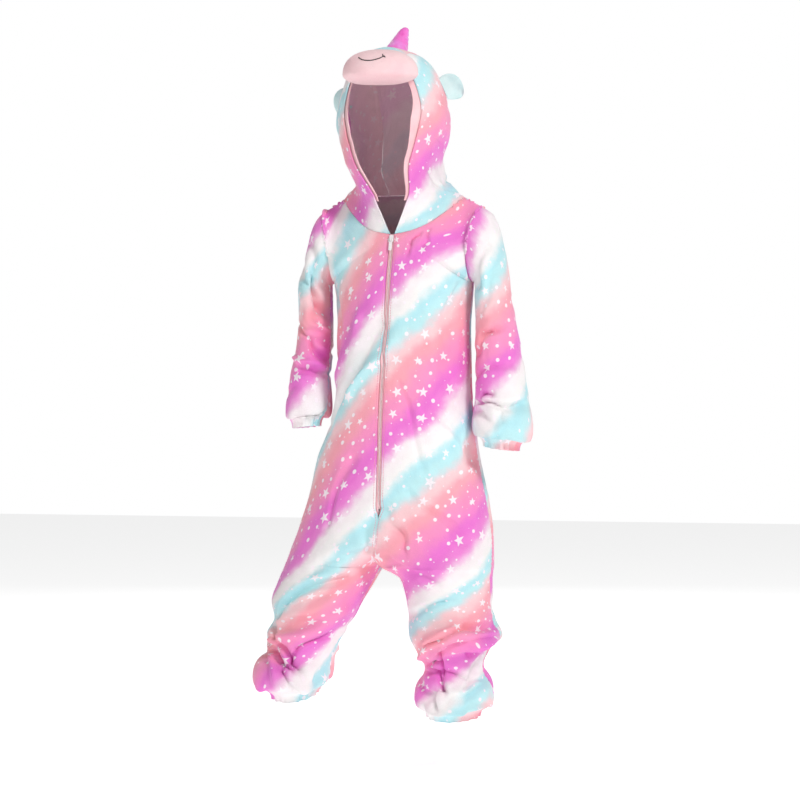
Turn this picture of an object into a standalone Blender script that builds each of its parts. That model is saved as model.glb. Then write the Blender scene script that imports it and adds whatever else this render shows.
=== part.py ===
# A child's hooded plush suit with a horn, ears and a stuffed muzzle on the hood.
# Metres, +Z up. The front faces -Y and the wearer's left is +X.
# The origin is at the base of the neck, where the shoulders carry the suit.
import math

import bmesh
import bpy
from mathutils import Matrix, Vector
from mathutils.bvhtree import BVHTree
from mathutils.kdtree import KDTree

# Cloth and seams
clothThick = 0.0024
facingThick = 0.0016
tapeThick = 0.0009
seamHalf = 0.00015
layerGap = 0.0003
armholeGap = 0.0009
neckGap = 0.0005
facingGap = 0.0014
facingStart = 2

# Levels
shoulderZ = -0.005
underarmZ = -0.128
neckFrontZ = -0.053
neckBackZ = 0.022
crotchZ = -0.594
zipEndZ = -0.500
zipHalf = 0.0042

# Armhole
armTopX = 0.132
armLowX = 0.116
armDepth = 0.055
armDip = 0.006

# Grid steps
yokeRows = 14
torsoRows = 12
legRows = 13
panelColumns = 8
sleeveRows = 14
sideSteps = 12
ankleSplit = 2
wristSplit = 2

# Turn and shift of the head above the neck
headTurnDegrees = -2.0
headShift = -0.021
headTurnLow = 0.005
headTurnHigh = 0.070


# A point inside the hood
hoodMiddle = Vector((-0.01, 0.01, 0.11))


def makeTable(columns, rows):
    return {"columns": columns.split(), "rows": sorted(rows)}


# Torso: side seams, centre seam, depth before and behind, and how far the centre seam turns under
torso = makeTable(
    "z outRight outLeft centre sideY front back close",
    [
        (0.022, 0.116, 0.116, 0.000, 0.000, 0.070, 0.075, 0.00),
        (-0.053, 0.116, 0.116, 0.000, 0.000, 0.077, 0.086, 0.00),
        (-0.128, 0.116, 0.116, 0.000, 0.000, 0.100, 0.094, 0.00),
        (-0.200, 0.111, 0.112, -0.001, 0.000, 0.113, 0.094, 0.00),
        (-0.300, 0.111, 0.113, -0.006, 0.000, 0.118, 0.094, 0.00),
        (-0.360, 0.121, 0.119, -0.009, 0.000, 0.118, 0.100, 0.00),
        (-0.420, 0.146, 0.128, -0.011, 0.000, 0.116, 0.110, 0.00),
        (-0.480, 0.160, 0.140, -0.013, 0.000, 0.113, 0.114, 0.03),
        (-0.540, 0.178, 0.149, -0.018, -0.005, 0.107, 0.110, 0.20),
        (-0.575, 0.190, 0.151, -0.027, -0.010, 0.100, 0.104, 0.58),
        (-0.594, 0.196, 0.152, -0.034, -0.015, 0.096, 0.100, 1.00),
    ],
)

# Legs: outer seam, inseam, middle of the depth, depth before and behind, and the ring's tilt
rightLeg = makeTable(
    "z outer inner midY front back tilt",
    [
        (-0.594, 0.196, 0.034, -0.015, 0.096, 0.100, 0.00),
        (-0.625, 0.206, 0.048, -0.028, 0.092, 0.094, 0.00),
        (-0.652, 0.212, 0.061, -0.040, 0.087, 0.088, 0.02),
        (-0.680, 0.204, 0.074, -0.050, 0.076, 0.080, 0.04),
        (-0.705, 0.214, 0.088, -0.060, 0.080, 0.082, 0.08),
        (-0.730, 0.212, 0.100, -0.068, 0.070, 0.074, 0.12),
        (-0.751, 0.226, 0.106, -0.074, 0.079, 0.078, 0.16),
        (-0.776, 0.214, 0.112, -0.078, 0.068, 0.066, 0.20),
    ],
)
leftLeg = makeTable(
    "z outer inner midY front back tilt",
    [
        (-0.594, 0.152, -0.034, -0.015, 0.096, 0.100, 0.00),
        (-0.614, 0.149, 0.001, -0.012, 0.094, 0.098, 0.00),
        (-0.650, 0.150, 0.010, -0.010, 0.088, 0.094, 0.00),
        (-0.680, 0.154, 0.013, -0.010, 0.083, 0.090, 0.00),
        (-0.706, 0.166, 0.015, -0.010, 0.092, 0.092, 0.03),
        (-0.733, 0.144, 0.027, -0.010, 0.072, 0.078, 0.05),
        (-0.760, 0.137, 0.041, -0.010, 0.063, 0.070, 0.05),
        (-0.787, 0.150, 0.028, -0.012, 0.077, 0.078, 0.06),
        (-0.815, 0.146, 0.031, -0.014, 0.071, 0.074, 0.08),
    ],
)

# Sleeves: where the ring's body side and outer side lie, its middle in Y and its half depth
rightSleeve = makeTable(
    "along inX inZ outX outZ midY depth",
    [
        (0.00, 0.1160, -0.128, 0.1320, -0.005, 0.000, 0.055),
        (0.06, 0.1205, -0.129, 0.1460, -0.020, -0.001, 0.055),
        (0.12, 0.1235, -0.132, 0.1570, -0.047, -0.002, 0.054),
        (0.20, 0.1245, -0.142, 0.1670, -0.090, -0.004, 0.053),
        (0.32, 0.1240, -0.160, 0.1750, -0.138, -0.006, 0.051),
        (0.45, 0.1225, -0.193, 0.1745, -0.182, -0.010, 0.047),
        (0.62, 0.1205, -0.240, 0.1790, -0.238, -0.016, 0.046),
        (0.80, 0.1220, -0.290, 0.1870, -0.292, -0.024, 0.047),
        (0.92, 0.1260, -0.322, 0.1890, -0.325, -0.030, 0.046),
        (1.00, 0.1310, -0.340, 0.1850, -0.344, -0.034, 0.041),
    ],
)
leftSleeve = makeTable(
    "along inX inZ outX outZ midY depth",
    [
        (0.00, 0.1160, -0.128, 0.1320, -0.005, 0.000, 0.055),
        (0.06, 0.1205, -0.129, 0.1500, -0.018, -0.001, 0.055),
        (0.12, 0.1235, -0.132, 0.1620, -0.045, -0.001, 0.055),
        (0.20, 0.1245, -0.142, 0.1730, -0.090, -0.002, 0.054),
        (0.32, 0.1250, -0.162, 0.1810, -0.145, -0.004, 0.053),
        (0.45, 0.1245, -0.195, 0.1890, -0.190, -0.006, 0.050),
        (0.62, 0.1245, -0.240, 0.1985, -0.240, -0.010, 0.050),
        (0.80, 0.1260, -0.298, 0.2100, -0.300, -0.014, 0.052),
        (0.92, 0.1270, -0.340, 0.2140, -0.346, -0.018, 0.054),
        (1.00, 0.1340, -0.372, 0.2050, -0.380, -0.020, 0.048),
    ],
)

# Hood: arches like ribs of a bonnet, from the face edge (0) to the back of the neck (7)
hoodRibs = makeTable(
    "rib footX footY footZ neckX neckY neckZ wideX wideY wideZ crownY crownZ",
    [
        (0, 0.0042, -0.077, -0.053, 0.0340, -0.079, 0.022, 0.0650, -0.066, 0.140, -0.072, 0.240),
        (1, 0.0290, -0.074, -0.048, 0.0530, -0.060, 0.030, 0.0800, -0.040, 0.140, -0.035, 0.257),
        (2, 0.0530, -0.061, -0.037, 0.0640, -0.036, 0.040, 0.0915, -0.008, 0.138, 0.015, 0.257),
        (3, 0.0750, -0.041, -0.019, 0.0685, -0.015, 0.047, 0.0930, 0.022, 0.130, 0.065, 0.234),
        (4, 0.0910, -0.023, -0.003, 0.0715, 0.000, 0.047, 0.0870, 0.045, 0.112, 0.098, 0.184),
        (5, 0.0990, -0.011, 0.006, 0.0760, 0.010, 0.040, 0.0775, 0.055, 0.085, 0.106, 0.128),
        (6, 0.1030, -0.004, 0.0095, 0.0870, 0.014, 0.027, 0.0770, 0.050, 0.050, 0.094, 0.074),
        (7, 0.1040, 0.000, 0.010, 0.0990, 0.018, 0.012, 0.0790, 0.044, 0.017, 0.075, 0.022),
    ],
)
ribPlaces = (0.0, 0.2, 0.5, 0.68, 0.84, 1.0)
templeAngle = 35.0
crownSideAngle = 62.0
crownSquare = 0.8

# Large folds: piece group, face, two ends in X and Z, width, and height (below zero is a trough)
foldColumns = ("group", "face", "x1", "z1", "x2", "z2", "width", "height")
foldRows = [
    ("body", -1, -0.030, -0.211, -0.128, -0.388, 0.014, -0.0040),
    ("body", -1, -0.050, -0.190, -0.100, -0.290, 0.012, 0.0025),
    ("body", -1, -0.017, -0.500, -0.036, -0.560, 0.012, -0.0040),
    ("body", -1, 0.004, -0.500, 0.030, -0.560, 0.012, -0.0035),
    ("body", -1, 0.060, -0.330, 0.112, -0.430, 0.016, 0.0030),
    ("body", -1, -0.200, -0.683, -0.124, -0.640, 0.012, -0.0060),
    ("body", -1, -0.124, -0.640, -0.066, -0.614, 0.012, -0.0050),
    ("body", -1, -0.080, -0.672, -0.185, -0.718, 0.013, 0.0050),
    ("body", -1, -0.205, -0.718, -0.150, -0.766, 0.011, -0.0050),
    ("body", -1, 0.044, -0.733, 0.098, -0.700, 0.013, 0.0050),
    ("body", -1, 0.098, -0.700, 0.160, -0.705, 0.013, 0.0050),
    ("body", -1, 0.070, -0.741, 0.150, -0.722, 0.010, -0.0050),
    ("body", -1, 0.040, -0.784, 0.090, -0.793, 0.010, -0.0050),
    ("body", 1, 0.090, -0.230, 0.020, -0.330, 0.016, -0.0040),
    ("body", 1, -0.095, -0.250, -0.030, -0.340, 0.015, -0.0035),
    ("body", 1, 0.020, -0.470, 0.100, -0.530, 0.016, 0.0040),
    ("body", 1, -0.040, -0.480, -0.130, -0.540, 0.016, 0.0040),
    ("body", 1, -0.190, -0.660, -0.090, -0.690, 0.012, -0.0060),
    ("body", 1, 0.030, -0.690, 0.140, -0.665, 0.012, -0.0060),
    ("body", 1, 0.040, -0.765, 0.130, -0.745, 0.012, -0.0050),
    ("sleeve", -1, -0.158, -0.150, -0.122, -0.190, 0.011, -0.0045),
    ("sleeve", -1, -0.165, -0.228, -0.122, -0.262, 0.011, -0.0060),
    ("sleeve", -1, -0.180, -0.279, -0.125, -0.284, 0.009, -0.0040),
    ("sleeve", -1, 0.130, -0.240, 0.165, -0.205, 0.012, -0.0045),
    ("sleeve", -1, 0.130, -0.328, 0.180, -0.312, 0.011, -0.0050),
    ("sleeve", 1, -0.175, -0.200, -0.125, -0.235, 0.012, -0.0050),
    ("sleeve", 1, 0.130, -0.215, 0.185, -0.250, 0.012, -0.0050),
    ("sleeve", 1, 0.135, -0.320, 0.195, -0.300, 0.012, -0.0050),
]

# Gathered hems: drop below the seam, share of the ring's size, and height of the gathers
hemRows = [
    (0.000, 1.00, 0.0000),
    (0.005, 0.96, 0.0008),
    (0.010, 0.84, 0.0020),
    (0.016, 0.80, 0.0024),
    (0.022, 0.84, 0.0018),
]
wristGathers = 14
ankleGathers = 16


def readAt(table, name, at):
    # Smooth value of a named column, with no overshoot between the rows
    rows = table["rows"]
    column = table["columns"].index(name)
    last = len(rows) - 1
    at = min(max(at, rows[0][0]), rows[last][0])
    first = 0
    while first < last - 1 and rows[first + 1][0] <= at:
        first += 1

    def rise(i):
        return (rows[i + 1][column] - rows[i][column]) / (rows[i + 1][0] - rows[i][0])

    def slope(i):
        if i == 0:
            return rise(0)
        if i == last:
            return rise(last - 1)
        before, after = rise(i - 1), rise(i)
        if before * after <= 0.0:
            return 0.0
        return 2.0 * before * after / (before + after)

    span = rows[first + 1][0] - rows[first][0]
    f = (at - rows[first][0]) / span
    low, high = rows[first][column], rows[first + 1][column]
    return (
        low * (1 + 2 * f) * (1 - f) ** 2
        + slope(first) * span * f * (1 - f) ** 2
        + high * f * f * (3 - 2 * f)
        + slope(first + 1) * span * f * f * (f - 1)
    )


def ramp(low, high, value):
    f = min(max((value - low) / (high - low), 0.0), 1.0)
    return f * f * (3 - 2 * f)


def headTurn(point):
    weight = ramp(headTurnLow, headTurnHigh, point.z)
    turn = math.radians(headTurnDegrees) * weight
    x = point.x * math.cos(turn) + point.y * math.sin(turn) + headShift * weight
    y = -point.x * math.sin(turn) + point.y * math.cos(turn)
    return Vector((x, y, point.z))


def ribControl(rib):
    def place(name):
        return Vector([readAt(hoodRibs, name + axis, rib) for axis in "XYZ"])

    foot, neck, wide = place("foot"), place("neck"), place("wide")
    crown = Vector((0.0, readAt(hoodRibs, "crownY", rib), readAt(hoodRibs, "crownZ", rib)))
    points = [foot, neck, wide]
    for degrees in (templeAngle, crownSideAngle):
        angle = math.radians(degrees)
        point = wide.lerp(crown, math.sin(angle))
        point.x = wide.x * math.cos(angle) ** crownSquare
        points.append(point)
    points.append(crown)
    return points


def ribPoint(side, rib, u):
    # Point on one half of a hood arch, from the neck seam (0) to the crown's middle (1)
    points = ribControl(rib)
    mirrored = points[-2].copy()
    mirrored.x = -mirrored.x
    points.append(mirrored)
    places = list(ribPlaces) + [2.0 - ribPlaces[-2]]
    i = 0
    while i < len(ribPlaces) - 2 and places[i + 1] <= u:
        i += 1

    def tangent(k):
        if k == 0:
            return (points[1] - points[0]) / (places[1] - places[0])
        return (points[k + 1] - points[k - 1]) / (places[k + 1] - places[k - 1])

    span = places[i + 1] - places[i]
    f = (u - places[i]) / span
    point = (
        points[i] * ((1 + 2 * f) * (1 - f) ** 2)
        + tangent(i) * (span * f * (1 - f) ** 2)
        + points[i + 1] * (f * f * (3 - 2 * f))
        + tangent(i + 1) * (span * f * f * (f - 1))
    )
    point.x *= side
    return headTurn(point)


def armPoint(side, angle):
    # Armhole seam: angle 0 at the shoulder, pi at the underarm, forward where sin is above zero
    middle = (shoulderZ + underarmZ) / 2
    z = middle + (shoulderZ - underarmZ) / 2 * math.cos(angle)
    share = (z - underarmZ) / (shoulderZ - underarmZ)
    x = armLowX + (armTopX - armLowX) * share - armDip * math.sin(angle) ** 2
    return Vector((side * x, -armDepth * math.sin(angle), z))


def zipEdge(z):
    return zipHalf * ramp(zipEndZ - 0.012, zipEndZ + 0.004, z)


def rowLevel(start, f):
    return start + (crotchZ - start) * f * (1.35 - 0.35 * f)


def bodyPoint(side, face, t, s):
    # t: 0 shoulder seam, 1 underarm, 2 crotch, 3 ankle; s: 0 centre seam or inseam, 1 side seam
    if t <= 1.0:
        if face < 0:
            inner = ribPoint(side, 7.0 * (1.0 - t), 0.0)
        else:
            inner = ribPoint(side, 7.0, t)
        outer = armPoint(side, -face * math.pi * t)
        across = math.sin(s * math.pi / 2)
        point = inner.lerp(outer, across)
        fuller = readAt(torso, "front", point.z) / readAt(torso, "front", inner.z)
        if face > 0:
            fuller = readAt(torso, "back", point.z) / readAt(torso, "back", inner.z)
        point.y = outer.y + (inner.y * fuller - outer.y) * math.cos(s * math.pi / 2)
        return point
    if t <= 2.0:
        innerZ = rowLevel(neckFrontZ if face < 0 else neckBackZ, t - 1.0)
        outerZ = rowLevel(underarmZ, t - 1.0)
        close = readAt(torso, "close", innerZ)
        inner = readAt(torso, "centre", innerZ)
        if face < 0:
            inner += side * zipEdge(innerZ)
        outer = side * readAt(torso, "outLeft" if side > 0 else "outRight", outerZ)
        midY = readAt(torso, "sideY", outerZ)
        tilt = 0.0
    else:
        leg = leftLeg if side > 0 else rightLeg
        innerZ = crotchZ + (leg["rows"][0][0] - crotchZ) * (t - 2.0)
        outerZ = innerZ
        close = 1.0
        inner = side * readAt(leg, "inner", innerZ)
        outer = side * readAt(leg, "outer", innerZ)
        midY = readAt(leg, "midY", innerZ)
        depth = readAt(leg, "front" if face < 0 else "back", innerZ)
        tilt = readAt(leg, "tilt", innerZ)
    half = (outer - inner) / (1.0 + close)
    start = -math.asin(min(close, 1.0))
    angle = start + (math.pi / 2 - start) * s
    share = (math.sin(angle) + close) / (1.0 + close)
    if t <= 2.0:
        level = innerZ + (outerZ - innerZ) * share
        depth = readAt(torso, "front" if face < 0 else "back", level)
    y = midY + face * depth * math.cos(angle)
    z = innerZ + (outerZ - innerZ) * share + tilt * (y - midY)
    return Vector((outer - half + half * math.sin(angle), y, z))


def sleevePoint(side, t, angle):
    table = leftSleeve if side > 0 else rightSleeve

    def ring(at):
        low = Vector((side * readAt(table, "inX", at), 0.0, readAt(table, "inZ", at)))
        high = Vector((side * readAt(table, "outX", at), 0.0, readAt(table, "outZ", at)))
        point = low.lerp(high, (1 + math.cos(angle)) / 2)
        point.y = readAt(table, "midY", at) - readAt(table, "depth", at) * math.sin(angle)
        return point

    weight = max(0.0, 1.0 - t / 0.2) ** 2
    return ring(t) + (armPoint(side, angle) - ring(0.0)) * weight


def foldHeight(group, point, normal):
    total = 0.0
    for row in foldRows:
        fold = dict(zip(foldColumns, row))
        if fold["group"] != group:
            continue
        facing = ramp(-0.1, 0.5, fold["face"] * normal.y)
        if facing == 0.0:
            continue
        start = Vector((fold["x1"], fold["z1"]))
        run = Vector((fold["x2"], fold["z2"])) - start
        here = Vector((point.x, point.z)) - start
        along = min(max(here.dot(run) / run.length_squared, 0.0), 1.0)
        away = (here - run * along).length / fold["width"]
        total += facing * fold["height"] * math.exp(-away * away)
    return total


def bodyGrid(side, face):
    marks = [i / yokeRows for i in range(yokeRows)]
    marks += [1.0 + i / torsoRows for i in range(torsoRows)]
    marks += [2.0 + i / legRows for i in range(legRows + 1)]
    steps = [i / panelColumns for i in range(panelColumns + 1)]
    return [[bodyPoint(side, face, t, s) for s in steps] for t in marks]


def sleeveGrid(side):
    angles = [math.pi * (1.0 - i / yokeRows) for i in range(2 * yokeRows + 1)]
    marks = [i / sleeveRows for i in range(sleeveRows + 1)]
    return [[sleevePoint(side, t, angle) for angle in angles] for t in marks]


def hoodSideGrid(side):
    ribs = [i / 2 for i in range(yokeRows + 1)]
    steps = [i / yokeRows for i in range(sideSteps + 1)]
    return [[ribPoint(side, rib, u) for u in steps] for rib in ribs]


def hoodCrownGrid():
    ribs = [i / 2 for i in range(yokeRows + 1)]
    steps = [i / yokeRows for i in range(sideSteps, yokeRows + 1)]
    grid = []
    for rib in ribs:
        right = [ribPoint(-1, rib, u) for u in steps]
        left = [ribPoint(1, rib, u) for u in reversed(steps[:-1])]
        grid.append(right + left)
    return grid


def gridNormals(grid, wrap, inside):
    rows, columns = len(grid), len(grid[0])
    normals = []
    total = 0.0
    for i in range(rows):
        line = []
        for j in range(columns):
            if wrap:
                across = grid[i][(j + 1) % columns] - grid[i][j - 1]
            else:
                across = grid[i][min(j + 1, columns - 1)] - grid[i][max(j - 1, 0)]
            along = grid[min(i + 1, rows - 1)][j] - grid[max(i - 1, 0)][j]
            normal = across.cross(along).normalized()
            total += normal.dot(grid[i][j] - inside)
            line.append(normal)
        normals.append(line)
    if total < 0.0:
        normals = [[-normal for normal in line] for line in normals]
    return normals


def shareNormals(pieces):
    # Points that meet at a seam take one normal, so that the inner walls meet there too
    places = [(name, i, j) for name, piece in pieces.items()
              for i, line in enumerate(piece["grid"]) for j in range(len(line))]
    tree = KDTree(len(places))
    for index, (name, i, j) in enumerate(places):
        tree.insert(pieces[name]["grid"][i][j], index)
    tree.balance()
    own = {name: gridNormals(piece["grid"], piece["wrap"], piece["inside"])
           for name, piece in pieces.items()}
    for name, piece in pieces.items():
        piece["normals"] = [list(line) for line in own[name]]
    for name, i, j in places:
        total = Vector()
        for _, index, _ in tree.find_range(pieces[name]["grid"][i][j], seamHalf / 10):
            other, k, m = places[index]
            total += own[other][k][m]
        pieces[name]["normals"][i][j] = total.normalized()


def openSeams(grid, wrap, first=seamHalf, foot=seamHalf):
    # Draw every border back from its seam by half the seam's gap
    rows, columns = len(grid), len(grid[0])
    moved = [[point.copy() for point in line] for line in grid]
    for j in range(columns):
        moved[0][j] += (grid[1][j] - grid[0][j]).normalized() * first
        moved[-1][j] += (grid[-2][j] - grid[-1][j]).normalized() * seamHalf
    if not wrap:
        for i in range(rows):
            moved[i][0] += (grid[i][1] - grid[i][0]).normalized() * foot
            moved[i][-1] += (grid[i][-2] - grid[i][-1]).normalized() * seamHalf
    return moved


def finishMesh(name, bm, colour, roughness, metallic=0.0):
    bmesh.ops.recalc_face_normals(bm, faces=bm.faces)
    mesh = bpy.data.meshes.new(name)
    bm.to_mesh(mesh)
    bm.free()
    mesh.shade_smooth()
    mesh.set_sharp_from_angle(angle=math.radians(50))
    material = bpy.data.materials.new(name + "_material")
    material.use_nodes = True
    shader = material.node_tree.nodes["Principled BSDF"]
    shader.inputs["Base Color"].default_value = (*colour, 1.0)
    shader.inputs["Roughness"].default_value = roughness
    shader.inputs["Metallic"].default_value = metallic
    mesh.materials.append(material)
    obj = bpy.data.objects.new(name, mesh)
    bpy.context.collection.objects.link(obj)
    return obj


def addWall(name, outer, inner, wrap, colour, roughness=0.9):
    bm = bmesh.new()
    rows, columns = len(outer), len(outer[0])
    skins = [[[bm.verts.new(point) for point in line] for line in grid] for grid in (outer, inner)]
    last = columns if wrap else columns - 1
    for i in range(rows - 1):
        for j in range(last):
            k = (j + 1) % columns
            for skin in skins:
                bm.faces.new((skin[i][j], skin[i][k], skin[i + 1][k], skin[i + 1][j]))
    front, back = skins
    for j in range(last):
        k = (j + 1) % columns
        for i in (0, rows - 1):
            bm.faces.new((front[i][j], front[i][k], back[i][k], back[i][j]))
    if not wrap:
        for i in range(rows - 1):
            for j in (0, columns - 1):
                bm.faces.new((front[i][j], front[i + 1][j], back[i + 1][j], back[i][j]))
    return finishMesh(name, bm, colour, roughness)


def moveIn(grid, normals, depth):
    return [[point - normal * depth for point, normal in zip(line, aims)]
            for line, aims in zip(grid, normals)]


def splitRing(ring, parts):
    points = []
    for i, point in enumerate(ring):
        following = ring[(i + 1) % len(ring)]
        points += [point.lerp(following, k / parts) for k in range(parts)]
    return points


def hemGrid(ring, parts, gathers):
    points = splitRing(ring, parts)
    middle = sum(points, Vector()) / len(points)
    grid = []
    for drop, share, height in hemRows:
        line = []
        for i, point in enumerate(points):
            arm = point - middle
            flat = Vector((arm.x, arm.y, 0.0))
            wave = height * math.cos(2 * math.pi * gathers * i / len(points))
            moved = middle + arm * share + flat.normalized() * wave
            moved.z = point.z - drop
            line.append(moved)
        grid.append(line)
    return grid


def clothPieces():
    pieces = {}
    for side, word in ((-1, "right"), (1, "left")):
        for face, part in ((-1, "front"), (1, "back")):
            pieces[part + "_" + word] = {
                "grid": bodyGrid(side, face), "wrap": False, "group": "body",
                "inside": Vector((side * 0.07, 0.0, -0.40)), "colour": (0.90, 0.42, 0.68),
            }
        pieces["sleeve_" + word] = {
            "grid": sleeveGrid(side), "wrap": False, "group": "sleeve",
            "inside": Vector((side * 0.15, -0.01, -0.20)), "colour": (0.93, 0.55, 0.66),
        }
        pieces["hood_side_" + word] = {
            "grid": hoodSideGrid(side), "wrap": False, "group": "hood",
            "inside": hoodMiddle, "colour": (0.74, 0.90, 0.92),
        }
    pieces["hood_crown"] = {
        "grid": hoodCrownGrid(), "wrap": False, "group": "hood",
        "inside": hoodMiddle, "colour": (0.88, 0.36, 0.70),
    }
    shareNormals(pieces)
    for piece in pieces.values():
        for line, aims in zip(piece["grid"], piece["normals"]):
            for point, normal in zip(line, aims):
                point += normal * foldHeight(piece["group"], point, normal)
    for side, word in ((-1, "right"), (1, "left")):
        front = pieces["front_" + word]["grid"][-1]
        back = pieces["back_" + word]["grid"][-1]
        ankle = [point.copy() for point in front + back[::-1][1:-1]]
        wrist = [point.copy() for point in pieces["sleeve_" + word]["grid"][-1][:-1]]
        for name, ring, parts, gathers in (
            ("ankle_hem_" + word, ankle, ankleSplit, ankleGathers),
            ("wrist_hem_" + word, wrist, wristSplit, wristGathers),
        ):
            pieces[name] = {
                "grid": hemGrid(ring, parts, gathers), "wrap": True, "group": "hem", "split": parts,
                "inside": sum(ring, Vector()) / len(ring), "colour": (0.80, 0.93, 0.94),
            }
    shareNormals(pieces)
    for piece in pieces.values():
        if piece["group"] == "hem":
            spreadTopNormals(piece)
    return pieces


def spreadTopNormals(piece):
    # Between the points that a hem shares with its sleeve or leg, its upper edge follows them
    top = piece["normals"][0]
    parts = piece["split"]
    for i in range(0, len(top), parts):
        following = top[(i + parts) % len(top)]
        for k in range(1, parts):
            top[i + k] = top[i].lerp(following, k / parts).normalized()


def buildCloth(pieces):
    for name, piece in pieces.items():
        first = armholeGap if piece["group"] == "sleeve" else seamHalf
        foot = neckGap if name.startswith("hood_side") else seamHalf
        outer = openSeams(piece["grid"], piece["wrap"], first, foot)
        lining = moveIn(piece["grid"], piece["normals"], clothThick)
        inner = openSeams(lining, piece["wrap"], first, foot)
        addWall(name, outer, inner, piece["wrap"], piece["colour"])


def lipReach(u):
    # How far the pale edge stands ahead of the hood's face edge
    return 0.002 + 0.007 * ramp(0.05, 0.35, u) - 0.008 * ramp(0.50, 0.62, u)


def buildFacings(pieces):
    # Pale strips inside the face edge, made from the hood's own points, moved in
    crown = pieces["hood_crown"]
    half = len(crown["grid"][0]) // 2
    for side, word in ((-1, "right"), (1, "left")):
        panel = pieces["hood_side_" + word]
        outer = []
        for rib, gap in ((1, facingGap * 1.5), (0, facingGap)):
            depth = clothThick + gap
            line, aims = panel["grid"][rib][facingStart:], panel["normals"][rib][facingStart:]
            points = moveIn([line], [aims], depth)[0]
            columns = range(1, half + 1) if side < 0 else range(2 * half - 1, half - 1, -1)
            for j in columns:
                points.append(crown["grid"][rib][j] - crown["normals"][rib][j] * depth)
            outer.append(points)
        lip = []
        for j, (inside, edge) in enumerate(zip(outer[0], outer[1])):
            lip.append(edge + (edge - inside).normalized() * lipReach((j + facingStart) / yokeRows))
        outer.append(lip)
        normals = gridNormals(outer, False, panel["inside"])
        for line in normals:
            if abs(line[-1].x) > 0.0:
                line[-1] = Vector((0.0, line[-1].y, line[-1].z)).normalized()
        inner = moveIn(outer, normals, facingThick)
        addWall("hood_facing_" + word, openSeams(outer, False), openSeams(inner, False), False,
                (0.97, 0.72, 0.74))


def zipSpan(pieces):
    # Rows of the front panels that the zip joins, with each edge point, neighbour and normal
    span = []
    right, left = pieces["front_right"], pieces["front_left"]
    for i in range(yokeRows, len(right["grid"])):
        if right["grid"][i][0].z < zipEndZ:
            break
        span.append({
            -1: (right["grid"][i][0], right["grid"][i][1], right["normals"][i][0]),
            1: (left["grid"][i][0], left["grid"][i][1], left["normals"][i][0]),
        })
    return span


def buildZip(pieces):
    tapeUnder = 0.008
    tapeEdge = 0.0021
    coilHalf = 0.0017
    coilDeep = 0.0022
    coilSunk = 0.0008
    span = zipSpan(pieces)
    for side, word in ((-1, "right"), (1, "left")):
        outer = []
        normals = []
        for row in span:
            edge, neighbour, normal = row[side]
            across = (neighbour - edge).normalized()
            level = edge - normal * (clothThick + 2 * layerGap)
            under = level + across * tapeUnder - normal * layerGap
            inner = level.copy()
            inner.x = (row[-1][0].x + row[1][0].x) / 2 + side * tapeEdge
            outer.append([under, level, inner])
            normals.append([normal] * 3)
        inner = moveIn(outer, normals, tapeThick)
        addWall("zip_tape_" + word, openSeams(outer, False), openSeams(inner, False), False,
                (0.96, 0.70, 0.72), 0.7)
    outer = []
    inner = []
    for row in span:
        middle = (row[-1][0] + row[1][0]) / 2
        normal = (row[-1][2] + row[1][2])
        normal.x = 0.0
        normal.normalize()
        step = Vector((coilHalf, 0.0, 0.0))
        outer.append([middle + step * k - normal * coilSunk for k in (-1, 0, 1)])
        inner.append([point - normal * coilDeep for point in outer[-1]])
    addWall("zip_coil", outer, inner, False, (0.97, 0.82, 0.82), 0.5)
    top, following = span[0], span[1]
    start = (top[-1][0] + top[1][0]) / 2
    down = ((following[-1][0] + following[1][0]) / 2 - start).normalized()
    return start, down


def addBox(bm, low, high):
    corners = bmesh.ops.create_cube(bm, size=1.0)["verts"]
    size = Vector(high) - Vector(low)
    middle = (Vector(high) + Vector(low)) / 2
    for corner in corners:
        corner.co = Vector([corner.co[k] * size[k] + middle[k] for k in range(3)])
    return corners


def uniteBoxes(name, boxes, bevel, colour, frame):
    # Boxes that share one body, joined by exact unions, with softened edges
    parts = []
    for low, high in boxes:
        bm = bmesh.new()
        addBox(bm, low, high)
        parts.append(finishMesh(name + "_piece", bm, colour, 0.35))
    base = parts[0]
    for other in parts[1:]:
        union = base.modifiers.new("union", "BOOLEAN")
        union.operation = "UNION"
        union.solver = "EXACT"
        union.object = other
        other.hide_render = True
        other.display_type = "WIRE"
    depsgraph = bpy.context.evaluated_depsgraph_get()
    bm = bmesh.new()
    bm.from_object(base, depsgraph)
    for part in parts:
        bpy.data.objects.remove(part)
    bmesh.ops.remove_doubles(bm, verts=bm.verts, dist=1e-6)
    corners = [edge for edge in bm.edges
               if len(edge.link_faces) == 2 and edge.calc_face_angle() > 1.0 and edge.is_convex]
    bmesh.ops.bevel(bm, geom=corners, offset=bevel, segments=1, affect="EDGES", clamp_overlap=True)
    bmesh.ops.transform(bm, matrix=frame, verts=bm.verts)
    return finishMesh(name, bm, colour, 0.35)


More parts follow.
